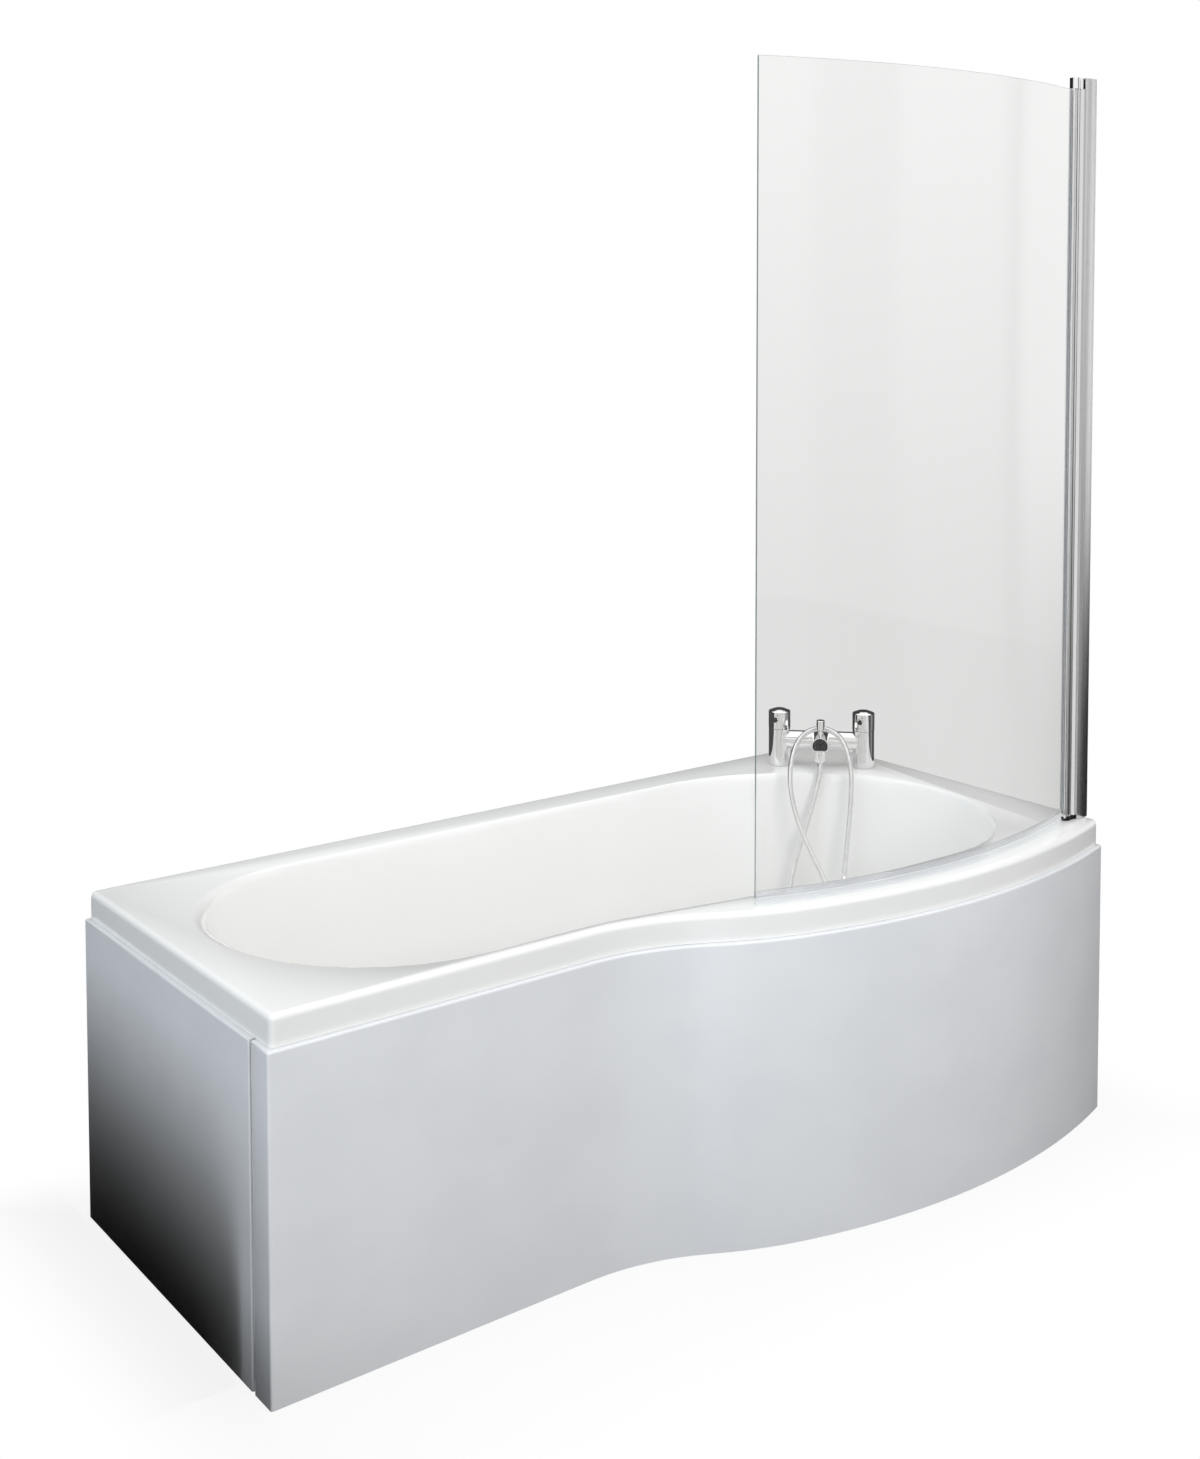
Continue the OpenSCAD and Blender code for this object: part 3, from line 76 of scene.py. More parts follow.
# The photograph's frame, in pixels, and its camera
PICTURE_WIDTH = 1200
PICTURE_HEIGHT = 1459
FOCAL_PIXELS = 1798.9
AXIS_COLUMN = 632.5
AXIS_ROW = 400.0
CAMERA_PLACE = (-1.9491, -2.5137, 1.5644)
CAMERA_YAW = 0.65664
CAMERA_PITCH = 0.05487


def add_camera():
    """The camera stands where the photograph was taken from."""
    lens = bpy.data.cameras.new("photo_camera")
    camera = bpy.data.objects.new("photo_camera", lens)
    bpy.context.scene.collection.objects.link(camera)
    bpy.context.scene.camera = camera
    lens.sensor_fit = "AUTO"
    lens.sensor_width = 36.0
    lens.lens = 36.0 * FOCAL_PIXELS / PICTURE_HEIGHT
    lens.shift_x = (PICTURE_WIDTH / 2 - AXIS_COLUMN) / PICTURE_HEIGHT
    lens.shift_y = (AXIS_ROW - PICTURE_HEIGHT / 2) / PICTURE_HEIGHT
    lens.clip_start = 0.05
    lens.clip_end = 60
    camera.location = CAMERA_PLACE
    camera.rotation_euler = (math.pi / 2 - CAMERA_PITCH, 0, -CAMERA_YAW)


# Hose, on the same route as its solid: across, out and up from the mixer's middle on the deck
HOSE_DIAMETER = 0.0115
HOSE_ROUTE = [
    (0, 0.082, 0.0277), (0, 0.082, 0.016), (-0.001, 0.083, 0.002), (-0.0066, 0.0884, -0.026),
    (-0.0161, 0.0977, -0.0619), (-0.0284, 0.1091, -0.1023), (-0.0427, 0.122, -0.1494),
    (-0.0538, 0.1319, -0.1903), (-0.0609, 0.1408, -0.2302), (-0.0659, 0.15, -0.2703),
    (-0.0724, 0.1628, -0.3101), (-0.0811, 0.182, -0.3454), (-0.088, 0.2082, -0.3728),
    (-0.0844, 0.2368, -0.3877), (-0.0701, 0.2587, -0.3929), (-0.0475, 0.2716, -0.3917),
    (-0.0236, 0.2736, -0.3831), (-0.0027, 0.2649, -0.3658), (0.0102, 0.2453, -0.336),
    (0.0203, 0.2263, -0.2985), (0.0258, 0.2119, -0.258), (0.0222, 0.1985, -0.2186),
    (0.0079, 0.1839, -0.1827), (-0.0132, 0.1682, -0.1457), (-0.033, 0.1531, -0.108),
    (-0.0484, 0.1402, -0.0701), (-0.0586, 0.1284, -0.0325), (-0.062, 0.1156, 0.0008),
    (-0.0595, 0.0976, 0.0334), (-0.051, 0.0771, 0.061), (-0.0368, 0.0603, 0.0786),
    (-0.0193, 0.051, 0.0879), (0.001, 0.0478, 0.0909), (0.0215, 0.0509, 0.0876),
    (0.0395, 0.0601, 0.0774), (0.0537, 0.0759, 0.0574), (0.0625, 0.0923, 0.0291),
    (0.0658, 0.1043, -0.0037), (0.0648, 0.1122, -0.0453), (0.0611, 0.1207, -0.0949),
    (0.057, 0.1305, -0.1393), (0.0541, 0.1392, -0.1713), (0.053, 0.1448, -0.184),
    (0.053, 0.15, -0.193),
]
# A rib's flat top begins and ends, and the groove after it begins, at these shares of the pitch
RIB_TOP_BEGINS = 0.2
RIB_TOP_ENDS = 0.72
GROOVE_BEGINS = 0.98


def from_mixer(across, out, up):
    """A point given from the mixer's middle on the deck, in the row frame."""
    turn = Matrix.Rotation(MIXER_TURN, 4, "Z")
    return MIXER + turn @ Vector((across, -out, up))


def smooth_route(points, steps):
    """Points of a smooth curve through a route."""
    last = len(points) - 1
    line = []
    for i in range(last):
        before, here = points[max(0, i - 1)], points[i]
        there, after = points[i + 1], points[min(last, i + 2)]
        for k in range(steps):
            t = k / steps
            line.append(
                0.5
                * (
                    2 * here
                    + (there - before) * t
                    + (2 * before - 5 * here + 4 * there - after) * t * t
                    + (3 * here - before - 3 * there + after) * t**3
                )
            )
    line.append(points[last])
    return line


class Line:
    """A route with its length, from which points are taken by distance."""

    def __init__(self, points):
        self.points = points
        self.sums = [0.0]
        for a, b in zip(points, points[1:]):
            self.sums.append(self.sums[-1] + (b - a).length)
        self.length = self.sums[-1]

    def at(self, distance):
        """The point at a distance from the start."""
        distance = min(max(distance, 0.0), self.length)
        i = 0
        low, high = 0, len(self.points) - 1
        while high - low > 1:
            i = (low + high) // 2
            if self.sums[i] <= distance:
                low = i
            else:
                high = i
        share = (distance - self.sums[low]) / (self.sums[low + 1] - self.sums[low])
        return self.points[low].lerp(self.points[low + 1], share)


def ringed_tube(name, line, stations, sides):
    """A closed tube on a line, from stations of distance and radius."""
    centres = [line.at(d) for d, _ in stations]
    last = len(centres) - 1
    verts = []
    side = Vector((1, 0, 0))
    for i, (_, radius) in enumerate(stations):
        way = (centres[min(last, i + 1)] - centres[max(0, i - 1)]).normalized()
        side = (side - side.dot(way) * way).normalized()
        up = way.cross(side)
        for k in range(sides):
            a = 2 * math.pi * k / sides
            verts.append(centres[i] + radius * (math.cos(a) * side + math.sin(a) * up))
    faces = [tuple(reversed(range(sides)))]
    for i in range(last):
        for k in range(sides):
            j = (k + 1) % sides
            a, b = i * sides, (i + 1) * sides
            faces.append((a + k, a + j, b + j, b + k))
    faces.append(tuple(range(last * sides, (last + 1) * sides)))
    mesh = bpy.data.meshes.new(name)
    mesh.from_pydata([tuple(v) for v in verts], [], faces)
    piece = bpy.data.objects.new(name, mesh)
    bpy.context.scene.collection.objects.link(piece)
    return piece


def add_hose():
    """The ribbed metal hose, with a narrow groove between its ribs."""
    pitch, groove, sides = 0.0026, 0.00042, 14
    route = [from_mixer(*point) for point in HOSE_ROUTE]
    line = Line(smooth_route(route, steps=12))
    radius = HOSE_DIAMETER / 2
    plain = HOSE_DIAMETER * 0.6
    stations = [(0.0, radius - groove), (plain, radius - groove)]
    ribs = int((line.length - 2 * plain) / pitch)
    pitch = (line.length - 2 * plain) / ribs
    for i in range(ribs):
        start = plain + i * pitch
        stations.append((start + RIB_TOP_BEGINS * pitch, radius))
        stations.append((start + RIB_TOP_ENDS * pitch, radius))
        stations.append((start + GROOVE_BEGINS * pitch, radius - groove))
    stations.append((line.length, radius - groove))
    nuts = [
        rounded_node("hose_nut", "chromed_hose_nut", 0, CHROME, "bath"),
        rounded_node("cone_nut", "chromed_cone_nut", 0, CHROME, "bath"),
    ]
    hose = ringed_tube("ribbed_hose", line, stations, sides)
    smooth(hose, 50)
    finish(hose, HOSE_METAL, "hose_chrome", "bath", "shower_hose")


class Number:
    """A number in a shader: Python's operators on it add Math nodes."""

    def __init__(self, paint, socket):
        self.paint = paint
        self.socket = socket

    def _math(self, operation, *values):
        node = self.paint.node("ShaderNodeMath", {"operation": operation}, values)
        return Number(self.paint, node.outputs[0])

    def __add__(self, other):
        return self._math("ADD", self, other)

    __radd__ = __add__

    def __sub__(self, other):
        return self._math("SUBTRACT", self, other)

    def __rsub__(self, other):
        return self._math("SUBTRACT", other, self)

    def __mul__(self, other):
        return self._math("MULTIPLY", self, other)

    __rmul__ = __mul__

    def most(self, other):
        """The larger of two numbers."""
        return self._math("MAXIMUM", self, other)

    def step(self, low, high):
        """A smooth rise from 0 at low to 1 at high."""
        node = self.paint.node(
            "ShaderNodeMapRange", {"interpolation_type": "SMOOTHSTEP"}, [self, low, high, 0.0, 1.0]
        )
        return Number(self.paint, node.outputs[0])


class Paint:
    """The nodes of one material or of the world."""

    def __init__(self, tree):
        self.tree = tree
        tree.nodes.clear()

    def node(self, kind, settings=None, inputs=()):
        """A node with its settings, and the values or links of its sockets by place or name."""
        node = self.tree.nodes.new(kind)
        for key, value in (settings or {}).items():
            setattr(node, key, value)
        pairs = inputs.items() if isinstance(inputs, dict) else enumerate(inputs)
        for key, value in pairs:
            if isinstance(value, Number):
                value = value.socket
            if isinstance(value, bpy.types.NodeSocket):
                self.tree.links.new(value, node.inputs[key])
            elif value is not None:
                node.inputs[key].default_value = value
        return node

    def number(self, node, output=0):
        """A node's output as a number."""
        return Number(self, node.outputs[output])

    def place(self, output="Object"):
        """The three coordinates of the shaded point."""
        where = self.node("ShaderNodeTexCoord")
        parts = self.node("ShaderNodeSeparateXYZ", inputs=[where.outputs[output]])
        return [self.number(parts, k) for k in range(3)]


def grey(level, warmth=0.0):
    """A near-grey colour, a little redder than blue where warmth is above 0."""
    return (level * (1 + warmth), level, level * (1 - warmth), 1.0)


def new_material(name):
    """An empty material and its paint."""
    material = bpy.data.materials.new(name)
    material.use_nodes = True
    return material, Paint(material.node_tree)


def finish_of(name, light, dark, roughness, grain, metallic=0.0, bump=0.0, gloss=0.5):
    """A finish that wanders between two colours and two roughnesses over a grain's size."""
    material, paint = new_material(name)
    where = paint.node("ShaderNodeTexCoord")
    scaled = paint.node("ShaderNodeMapping", inputs={"Vector": where.outputs["Object"]})
    scaled.inputs["Scale"].default_value = grain
    noise = paint.node(
        "ShaderNodeTexNoise", inputs={"Vector": scaled.outputs[0], "Scale": 1.0, "Detail": 3.0}
    )
    spread = paint.number(noise).step(0.3, 0.7)
    colour = paint.node(
        "ShaderNodeMix", {"data_type": "RGBA"}, {"Factor": spread, "A": dark, "B": light}
    )
    sockets = {
        "Base Color": colour.outputs["Result"],
        "Roughness": roughness[0] + (roughness[1] - roughness[0]) * spread,
        "Metallic": metallic,
        "Specular IOR Level": gloss,
    }
    if bump:
        height = paint.node(
            "ShaderNodeBump",
            inputs={"Height": noise.outputs["Fac"], "Strength": bump, "Distance": 0.001},
        )
        sockets["Normal"] = height.outputs[0]
    shader = paint.node("ShaderNodeBsdfPrincipled", inputs=sockets)
    paint.node("ShaderNodeOutputMaterial", inputs=[shader.outputs[0]])
    return material


def clear_finish(name, tint, roughness, gloss, veil, veil_colour):
    """Clear glass or plastic: a veil of it is milky, and it lets the lamps' light through."""
    material, paint = new_material(name)
    clear = paint.node(
        "ShaderNodeBsdfPrincipled",
        inputs={
            "Base Color": tint,
            "Roughness": roughness,
            "Transmission Weight": 1.0,
            "IOR": 1.45,
            "Specular IOR Level": gloss,
        },
    )
    milky = paint.node(
        "ShaderNodeBsdfPrincipled",
        inputs={"Base Color": veil_colour, "Roughness": 0.2},
    )
    body = paint.node("ShaderNodeMixShader", inputs=[veil, clear.outputs[0], milky.outputs[0]])
    open_way = paint.node("ShaderNodeBsdfTransparent", inputs=[tint])
    path = paint.node("ShaderNodeLightPath")
    lit = paint.number(path, "Is Shadow Ray").most(paint.number(path, "Is Diffuse Ray"))
    mixed = paint.node("ShaderNodeMixShader", inputs=[lit, body.outputs[0], open_way.outputs[0]])
    paint.node("ShaderNodeOutputMaterial", inputs=[mixed.outputs[0]])
    return material


ACRYLIC = finish_of(
    "white_acrylic", (0.885, 0.883, 0.868, 1), (0.87, 0.868, 0.852, 1), (0.06, 0.10), (3, 3, 3)
)
PANEL = finish_of(
    "panel_acrylic", (0.80, 0.81, 0.825, 1), (0.77, 0.78, 0.80, 1), (0.09, 0.15), (7, 7, 9)
)
CHROME = finish_of("polished_chrome", grey(0.93), grey(0.90), (0.015, 0.04), (40, 40, 40), 1.0)
HOSE_METAL = finish_of(
    "wound_chrome_strip", grey(0.92), grey(0.84), (0.06, 0.14), (90, 90, 90), 1.0
)
SATIN = finish_of(
    "satin_aluminium", grey(0.76), grey(0.70), (0.20, 0.28), (1400, 1400, 5), 1.0, 0.08
)
# Polished aluminium of the hinge; on the wall channel's rounded corner the same finish is a painted
# highlight
POLISHED_AND_HIGHLIGHT_ALUMINIUM = finish_of(
    "polished_aluminium_and_painted_highlight", grey(0.90), grey(0.85), (0.07, 0.12), (1400, 1400, 5), 1.0, 0.02
)
ZINC = finish_of(
    "zinc_plate", (0.66, 0.66, 0.64, 1), grey(0.5), (0.3, 0.5), (60, 60, 60), 1.0, 0.1
)
STEEL = finish_of("ground_steel", grey(0.58), grey(0.5), (0.2, 0.3), (60, 60, 900), 1.0, 0.05)
BRASS = finish_of(
    "turned_brass", (0.78, 0.58, 0.28, 1), (0.66, 0.47, 0.2, 1), (0.2, 0.32), (50, 50, 500), 1.0
)
BLACK = finish_of(
    "black_moulding", grey(0.010), grey(0.006), (0.3, 0.42), (300, 300, 300), 0, 0.05, 0.15
)
RUBBER = finish_of("black_rubber", grey(0.024), grey(0.016), (0.6, 0.8), (200, 200, 200), 0, 0.1)
WHITE_PLASTIC = finish_of(
    "white_moulding", grey(0.80), grey(0.77), (0.32, 0.45), (90, 90, 90), 0, 0.03
)
GREY_PLASTIC = finish_of(
    "grey_moulding", grey(0.32), grey(0.28), (0.38, 0.5), (90, 90, 90), 0, 0.03
)
CHIPBOARD = finish_of(
    "chipboard", (0.60, 0.44, 0.27, 1), (0.36, 0.24, 0.13, 1), (0.7, 0.85), (260, 260, 260), 0, 0.5
)
PINE = finish_of(
    "sawn_pine", (0.70, 0.51, 0.30, 1), (0.52, 0.34, 0.17, 1), (0.6, 0.75), (9, 9, 150), 0, 0.25
)
GLASS = clear_finish("clear_glass", grey(0.965, 0.004), 0.0, 0.12, 0.01, grey(0.70, 0.02))
GLASS_EDGE = clear_finish(
    "ground_glass_edge", (0.72, 0.78, 0.77, 1), 0.4, 0.3, 0.7, (0.36, 0.41, 0.41, 1)
)
STRIP = clear_finish("clear_strip", grey(0.97), 0.06, 0.3, 0.14, (0.78, 0.81, 0.86, 1))
PALE_FOAM = finish_of("pale_foam", grey(0.62), grey(0.54), (0.6, 0.8), (300, 300, 300), 0, 0.1)
BLACK_CARD = finish_of("black_card", grey(0.012), grey(0.01), (0.8, 0.9), (50, 50, 50))

NODE_FINISHES = {
    "bath_white": ACRYLIC,
    "panel_white": PANEL,
    "board": CHIPBOARD,
    "timber": PINE,
    "zinc_steel": ZINC,
    "black_plastic": BLACK,
    "chrome": CHROME,
    "hose_chrome": HOSE_METAL,
    "rubber": RUBBER,
    "white_plastic": WHITE_PLASTIC,
    "grey_plastic": GREY_PLASTIC,
    "brass": BRASS,
    "satin_aluminium": SATIN,
    "steel": STEEL,
    "clear_plastic": STRIP,
    "screen_glass": GLASS,
}
# Nodes whose colour differs from the rest of their slot
OWN_FINISHES = {"pillar_gaskets": PALE_FOAM, "hinge_profile": POLISHED_AND_HIGHLIGHT_ALUMINIUM}
SLOT_OF = {part["node"]: part["material_slot"] for part in frame["record"]["subparts"]}


def take(piece):
    """Only this piece is selected and active."""
    bpy.ops.object.select_all(action="DESELECT")
    piece.select_set(True)
    bpy.context.view_layer.objects.active = piece


def smooth(piece, degrees):
    """Smooth shading, with edges above an angle left sharp."""
    take(piece)
    bpy.ops.object.shade_smooth_by_angle(angle=math.radians(degrees))


def finish(piece, material, slot, body, *nodes):
    """The piece's material, its body, and the nodes it stands for; the slot in the record is not
    used.
    """
    piece.data.materials.clear()
    piece.data.materials.append(material)
    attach(piece, body)
    if nodes:
        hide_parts(*nodes)


def weld(piece, degrees):
    """Joins a piece's corners and makes its flat faces whole."""
    take(piece)
    bpy.ops.object.mode_set(mode="EDIT")
    bpy.ops.mesh.select_all(action="SELECT")
    bpy.ops.mesh.remove_doubles(threshold=0.00002)
    bpy.ops.mesh.dissolve_limited(angle_limit=math.radians(degrees))
    bpy.ops.mesh.select_all(action="DESELECT")
    bpy.ops.object.mode_set(mode="OBJECT")


def welded_copy(node, name):
    """A copy of a node's mesh with its corners joined and its flat faces whole."""
    piece = bpy.data.objects.new(name, NODES[node].data.copy())
    bpy.context.scene.collection.objects.link(piece)
    take(piece)
    if piece.data.has_custom_normals:
        bpy.ops.mesh.customdata_custom_splitnormals_clear()
    weld(piece, 0.1)
    return piece


def round_edges(piece, width, segments, wanted, sharper=50):
    """Rounds the sharp edges of a piece that a test on their ends and faces picks."""
    take(piece)
    bpy.ops.object.mode_set(mode="EDIT")
    bpy.ops.mesh.select_mode(type="EDGE")
    shape = bmesh.from_edit_mesh(piece.data)
    least = math.radians(sharper)
    for edge in shape.edges:
        sharp = len(edge.link_faces) == 2 and edge.calc_face_angle(0) > least
        a, b = edge.verts
        edge.select = sharp and wanted(a.co, b.co, [face.normal for face in edge.link_faces])
    shape.select_flush_mode()
    bmesh.update_edit_mesh(piece.data)
    bpy.ops.mesh.bevel(offset=width, segments=segments, profile=0.5, clamp_overlap=True)
    bpy.ops.mesh.select_all(action="DESELECT")
    bpy.ops.object.mode_set(mode="OBJECT")


def any_edge(a, b, normals):
    """Every sharp edge."""
    return True


def faces_out(a, b, normals):
    """Whether a side face at an edge looks away from the middle of the bath."""
    middle = (a + b) / 2
    sides = [normal for normal in normals if abs(normal.z) < 0.7]
    return any(side.x * middle.x + side.y * middle.y > 0 for side in sides)


SHELL_NODES = ("bath_rim", "bath_head_wall", "bath_tap_wall", "bath_bow_wall", "bath_floor")


def add_bath():
    """The moulded bath in one piece, with its upper edges rounded save those of the tap holes."""
    bath = welded_copy(SHELL_NODES[0], "moulded_bath")
    for node in SHELL_NODES[1:]:
        part = welded_copy(node, "part_of_" + node)
        take(bath)
        union = bath.modifiers.new("union", "BOOLEAN")
        union.operation = "UNION"
        union.solver = "EXACT"
        union.object = part
        bpy.ops.object.modifier_apply(modifier=union.name)
        bpy.data.objects.remove(part)
    weld(bath, 0.1)
    rounding = 0.010
    near_hole = 0.13

    def rim_edge(a, b, normals):
        middle = (a + b) / 2
        at_top = min(a.z, b.z) > RIM_TOP - 0.0005
        corner = abs(a.z - b.z) > 0.03 and max(a.z, b.z) > RIM_TOP - 0.0005
        return (at_top or corner) and (middle - MIXER).length > near_hole

    round_edges(bath, rounding, 5, rim_edge, 60)
    smooth(bath, 40)
    finish(bath, ACRYLIC, "bath_white", "bath", *SHELL_NODES)


def add_panels():
    """The two panels, with their outer edges rounded and a narrow seam between them."""
    seam, rounding = 0.0035, 0.0042
    for node, name in (("front_panel", "curved_front_panel"), ("end_panel", "flat_end_panel")):
        panel = welded_copy(node, name)
        low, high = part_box(node)
        if node == "end_panel":
            for corner in panel.data.vertices:
                if corner.co.y < low.y + 0.0005:
                    corner.co.y += seam

        def outer_edge(a, b, normals, low=low, high=high, flat=node == "end_panel"):
            on_top = min(a.z, b.z) > high.z - 0.0005
            upright = abs(a.z - b.z) > 0.3 and max(a.x, b.x) < 0
            if flat:
                return (on_top or upright) and max(a.x, b.x) < low.x + 0.0005
            return (on_top or upright) and faces_out(a, b, normals)

        round_edges(panel, rounding, 5, outer_edge, 60)
        smooth(panel, 40)
        finish(panel, PANEL, "panel_white", "bath", node)


def rounded_node(node, name, width, material, body, degrees=35, sharper=50):
    """A node with all its sharp edges eased."""
    piece = welded_copy(node, name)
    if width:
        round_edges(piece, width, 2, any_edge, sharper)
    smooth(piece, degrees)
    finish(piece, material, SLOT_OF[node], body, node)
    return piece


def add_smooth_metal():
    """The chromed pieces, smoothly shaded."""
    for node, body in (
        ("mixer_body", "bath"),
        ("hot_handle", "hot_tap"),
        ("cold_handle", "cold_tap"),
        ("hot_lever", "hot_tap"),
        ("cold_lever", "cold_tap"),
        ("diverter_knob", "diverter"),
        ("shower_handle", "bath"),
        ("waste_flange", "bath"),
        ("waste_plug", "plug"),
        ("overflow_rose", "bath"),
    ):
        rounded_node(node, "chromed_" + node, 0, CHROME, body)


def add_channel():
    """The wall channel, with its long outer corner rounded and a painted highlight along it in
    brighter aluminium.
    """
    channel = welded_copy("wall_channel", "rounded_wall_channel")
    low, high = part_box("wall_channel")

    def outer_corner(a, b, normals):
        return abs(a.z - b.z) > 1.0 and a.y < low.y + 0.001 and a.x > high.x - 0.001

    round_edges(channel, 0.0035, 4, outer_corner)
    smooth(channel, 50)
    finish(channel, SATIN, "satin_aluminium", "bath", "wall_channel")
    channel.data.materials.append(POLISHED_AND_HIGHLIGHT_ALUMINIUM)
    # Painted highlight: the rounded corner's faces, turned to the front and the tap end, take the
    # brighter aluminium
    for face in channel.data.polygons:
        if face.normal.x > 0.1 and face.normal.y < -0.1:
            face.material_index = 1


# The levers' ends: their turn from straight ahead, their distance from the handle's middle, and
# how far they lie below its top; and the black cap on each, a painted reflection of the dark room in
# the lever's chrome end
LEVER_TURN = math.radians(-12)
LEVER_REACH = 0.0375
LEVER_UNDER_TOP = 0.019
REFLECTION_CAP_RADIUS = 0.0052
REFLECTION_CAP_RISE = 0.0016


def add_painted_reflection_caps():
    """A black domed cap on the end of each lever: a painted reflection of the dark room in the
    lever's chrome end.
    """
    out = from_mixer(0, 1, 0) - from_mixer(0, 0, 0)
    way = Matrix.Rotation(LEVER_TURN, 3, "Z") @ out
    for node, name, body in (
        ("hot_handle", "hot_lever_painted_reflection", "hot_tap"),
        ("cold_handle", "cold_lever_painted_reflection", "cold_tap"),
    ):
        low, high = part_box(node)
        middle = (low + high) / 2
        place = Vector((middle.x, middle.y, high.z - LEVER_UNDER_TOP)) + way * LEVER_REACH
        bpy.ops.object.select_all(action="DESELECT")
        bpy.ops.mesh.primitive_uv_sphere_add(segments=24, ring_count=12, radius=1)
        reflection_cap = bpy.context.active_object
        reflection_cap.name = name
        bpy.ops.object.mode_set(mode="EDIT")
        bpy.ops.mesh.select_all(action="SELECT")
        bpy.ops.mesh.bisect(
            plane_co=(0, 0, 0.02), plane_no=(0, 0, 1), use_fill=True, clear_inner=True
        )
        bpy.ops.mesh.select_all(action="DESELECT")
        bpy.ops.object.mode_set(mode="OBJECT")
        reflection_cap.scale = (REFLECTION_CAP_RADIUS, REFLECTION_CAP_RADIUS, REFLECTION_CAP_RISE)
        reflection_cap.rotation_euler = way.to_track_quat("Z", "Y").to_euler()
        reflection_cap.location = place
        bpy.ops.object.transform_apply(location=True, rotation=True, scale=True)
        smooth(reflection_cap, 40)
        # Painted reflection: the black stands for the dark room mirrored in the lever's chrome end
        finish(reflection_cap, BLACK, "black_plastic", body)


def add_screen():
    """The screen's curved glass, with ground edges."""
    glass = welded_copy("screen_glass", "curved_glass")
    smooth(glass, 30)
    finish(glass, GLASS, "screen_glass", "screen", "screen_glass")
    glass.data.materials.append(GLASS_EDGE)
    thickest_edge = 0.009
    for face in glass.data.polygons:
        corners = [glass.data.vertices[k].co for k in face.vertices]
        narrowest = min((a - b).length for a, b in zip(corners, corners[1:] + corners[:1]))
        if narrowest < thickest_edge:
            face.material_index = 1


def dress_nodes():
    """The finish of every node, those that other pieces stand for among them."""
    for name, node in NODES.items():
        node.data.materials.clear()
        node.data.materials.append(OWN_FINISHES.get(name, NODE_FINISHES[SLOT_OF[name]]))


def add_floor():
    """A pale floor that keeps a soft shadow and fades into the white around it."""
    white_near, fade = 0.88, 0.22
    bpy.ops.object.select_all(action="DESELECT")
    bpy.ops.mesh.primitive_plane_add(size=1, location=(0, 0, -0.0005))
    floor = bpy.context.active_object
    floor.name = "floor"
    floor.scale = (9, 9, 1)
    bpy.ops.object.transform_apply(location=True, rotation=False, scale=True)
    material, paint = new_material("pale_floor")
    path = paint.node("ShaderNodeLightPath")
    camera = paint.number(path, "Is Camera Ray")
    clear = paint.number(path, "Is Transmission Ray") * (1 - camera)
    glossy = paint.number(path, "Is Glossy Ray") * (1 - clear)
    x, y, _ = paint.place()
    past_x = x.most(x * -1) - cad_high.x
    past_y = y.most(y * -1) - cad_high.y
    far = past_x.most(past_y).step(0.0, fade)
    ground = paint.node("ShaderNodeBsdfDiffuse", inputs=[grey(0.75)])
    dark = paint.node("ShaderNodeBsdfDiffuse", inputs=[grey(0.06)])
    glow = paint.node("ShaderNodeEmission", inputs=[grey(1.0), 1.0])
    pale = paint.node("ShaderNodeEmission", inputs=[grey(0.785), 1.0])
    open_way = paint.node("ShaderNodeBsdfTransparent")
    white = white_near + far * (1 - white_near)
    shown = paint.node("ShaderNodeMixShader", inputs=[white, ground.outputs[0], glow.outputs[0]])
    lit = paint.node("ShaderNodeMixShader", inputs=[camera, dark.outputs[0], shown.outputs[0]])
    behind = paint.node("ShaderNodeMixShader", inputs=[clear, lit.outputs[0], pale.outputs[0]])
    both = paint.node(
        "ShaderNodeMixShader", inputs=[glossy, behind.outputs[0], open_way.outputs[0]]
    )
    paint.node("ShaderNodeOutputMaterial", inputs=[both.outputs[0]])
    floor.data.materials.append(material)


def add_black_roll():
    """A black roll and a low card beside the narrow end, which the camera doesn't see."""
    half_width, height, gap = 0.30, 0.42, 0.01
    near, far = -0.17, 1.30
    card_width, card_height, card_away = 0.54, 0.14, 0.2
    middle = cad_low.x - gap - half_width
    bpy.ops.object.select_all(action="DESELECT")
    bpy.ops.mesh.primitive_cylinder_add(
        vertices=64, radius=1, depth=1, location=(middle, (near + far) / 2, 0)
    )
    roll = bpy.context.active_object
    roll.name = "black_roll"
    roll.rotation_euler = (math.pi / 2, 0, 0)
    roll.scale = (half_width, height, far - near)
    bpy.ops.mesh.primitive_cube_add(
        size=1, location=(cad_low.x - card_away, near - card_width / 2, card_height / 2)
    )
    card = bpy.context.active_object
    card.name = "low_black_card"
    card.scale = (0.01, card_width, card_height)
    for piece in (roll, card):
        take(piece)
        bpy.ops.object.transform_apply(location=True, rotation=True, scale=True)
        piece.data.materials.append(BLACK_CARD)
        piece.visible_camera = False
        piece.visible_transmission = False


# Levels of the room's light from each side, and of the ceiling that the metal mirrors. Left is
# towards the narrow end, and ahead is towards the room, where the camera stands.
FROM_LEFT = 1.5
FROM_RIGHT = 0.2
FROM_AHEAD = 0.5
FROM_BEHIND = 0.4
FROM_ABOVE = 0.94
FROM_BELOW = 0.1
CEILING = 1.3


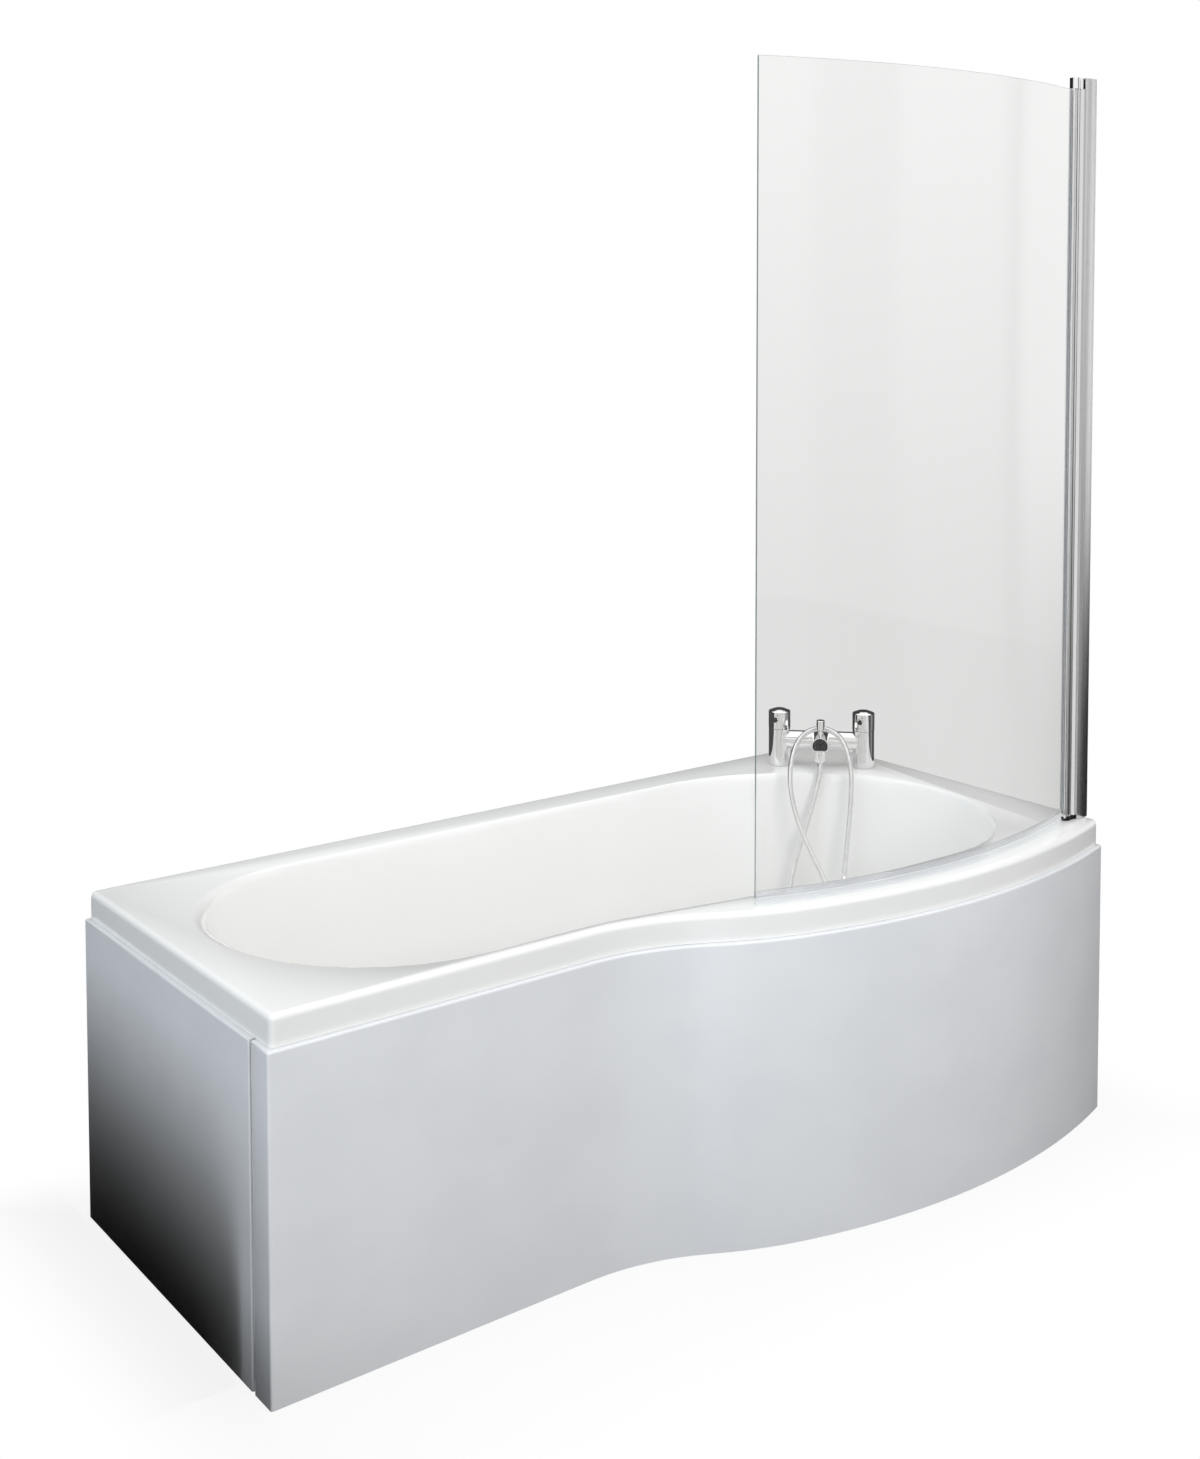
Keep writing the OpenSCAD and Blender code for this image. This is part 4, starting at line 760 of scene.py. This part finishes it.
def add_room():
    """The room's light: white behind the object, and a studio in what the metal mirrors."""
    world = bpy.data.worlds.new("studio_room")
    bpy.context.scene.world = world
    world.use_nodes = True
    paint = Paint(world.node_tree)
    path = paint.node("ShaderNodeLightPath")
    x, y, z = paint.place("Generated")
    front = (x * math.sin(CAMERA_YAW) + y * math.cos(CAMERA_YAW)) * -1
    side = x * math.cos(CAMERA_YAW) - y * math.sin(CAMERA_YAW)
    ceiling = (z + front * 0.10).step(0.64, 0.76)
    below_ceiling = 1 - z.step(0.50, 0.58)
    open_side = (front + side * 0.25).step(-0.05, 0.15)
    walls = below_ceiling * open_side * (0.05 + z.step(-0.40, 0.20) * 0.90)
    panel_light = front.step(0.80, 0.92) * z.step(-0.60, -0.45) * below_ceiling
    ahead = front.step(0.05, 0.20)
    right_flag = side.step(0.74, 0.82) * (1 - side.step(0.92, 0.96))
    left_flag = (side * -1).step(0.76, 0.86)
    flags = 1 - 0.92 * ahead * right_flag.most(left_flag)
    edge_light = x.step(0.90, 0.95) * z.step(-0.25, -0.05) * below_ceiling
    lit_walls = walls.most(panel_light * 0.95) * flags
    mirrored = 0.02 + lit_walls.most(edge_light) + ceiling * CEILING
    sides = (
        (x, FROM_RIGHT, FROM_LEFT),
        (y, FROM_BEHIND, FROM_AHEAD),
        (z, FROM_ABOVE, FROM_BELOW),
    )
    ambient = 0
    for axis, level, opposite in sides:
        share = axis * axis
        forward = axis.step(-0.02, 0.02)
        ambient = ambient + share * (opposite + (level - opposite) * forward)
    through = 0.755 + z.step(-0.40, 0.28) * 0.20
    camera = paint.number(path, "Is Camera Ray")
    clear = paint.number(path, "Is Transmission Ray") * (1 - camera)
    glossy = paint.number(path, "Is Glossy Ray") * (1 - clear)
    other = (1 - camera) * (1 - clear) * (1 - glossy)
    strength = camera + clear * through + glossy * mirrored + other * ambient
    cool_light = paint.node(
        "ShaderNodeMix",
        {"data_type": "RGBA"},
        {"Factor": other * (x * -1).step(0.0, 0.9), "A": grey(1.0), "B": grey(1.0, -0.07)},
    )
    light = paint.node("ShaderNodeBackground", inputs=[cool_light.outputs["Result"], strength])
    paint.node("ShaderNodeOutputWorld", inputs=[light.outputs[0]])


def add_lamp(name, place, target, size, power):
    """A soft square lamp aimed at a point."""
    lamp = bpy.data.lights.new(name, "AREA")
    lamp.shape = "RECTANGLE"
    lamp.size, lamp.size_y = size
    lamp.energy = power
    holder = bpy.data.objects.new(name, lamp)
    bpy.context.scene.collection.objects.link(holder)
    holder.location = place
    way = Vector(target) - Vector(place)
    holder.rotation_euler = way.to_track_quat("-Z", "Y").to_euler()
    holder.visible_glossy = False
    holder.visible_transmission = False
    holder.visible_camera = False


OVERHEAD_POWER = 20
FRONT_POWER = 40
LOW_POWER = 16


def add_lamps():
    """A large lamp overhead and two in front."""
    target = (0.15, -0.2, 0.3)
    add_lamp("overhead_lamp", (0.25, -0.1, 3.2), (0.2, 0.0, 0.4), (2.6, 1.8), OVERHEAD_POWER)
    add_lamp("front_lamp", (-0.3, -3.4, 2.2), target, (1.8, 1.2), FRONT_POWER)
    add_lamp("low_lamp", (-0.9, -3.6, 0.9), target, (2.0, 1.2), LOW_POWER)


add_camera()
dress_nodes()
add_hose()
add_bath()
add_panels()
add_smooth_metal()
add_channel()
add_painted_reflection_caps()
add_screen()
add_floor()
add_black_roll()
add_room()
add_lamps()
bpy.context.scene.view_settings.view_transform = "Standard"
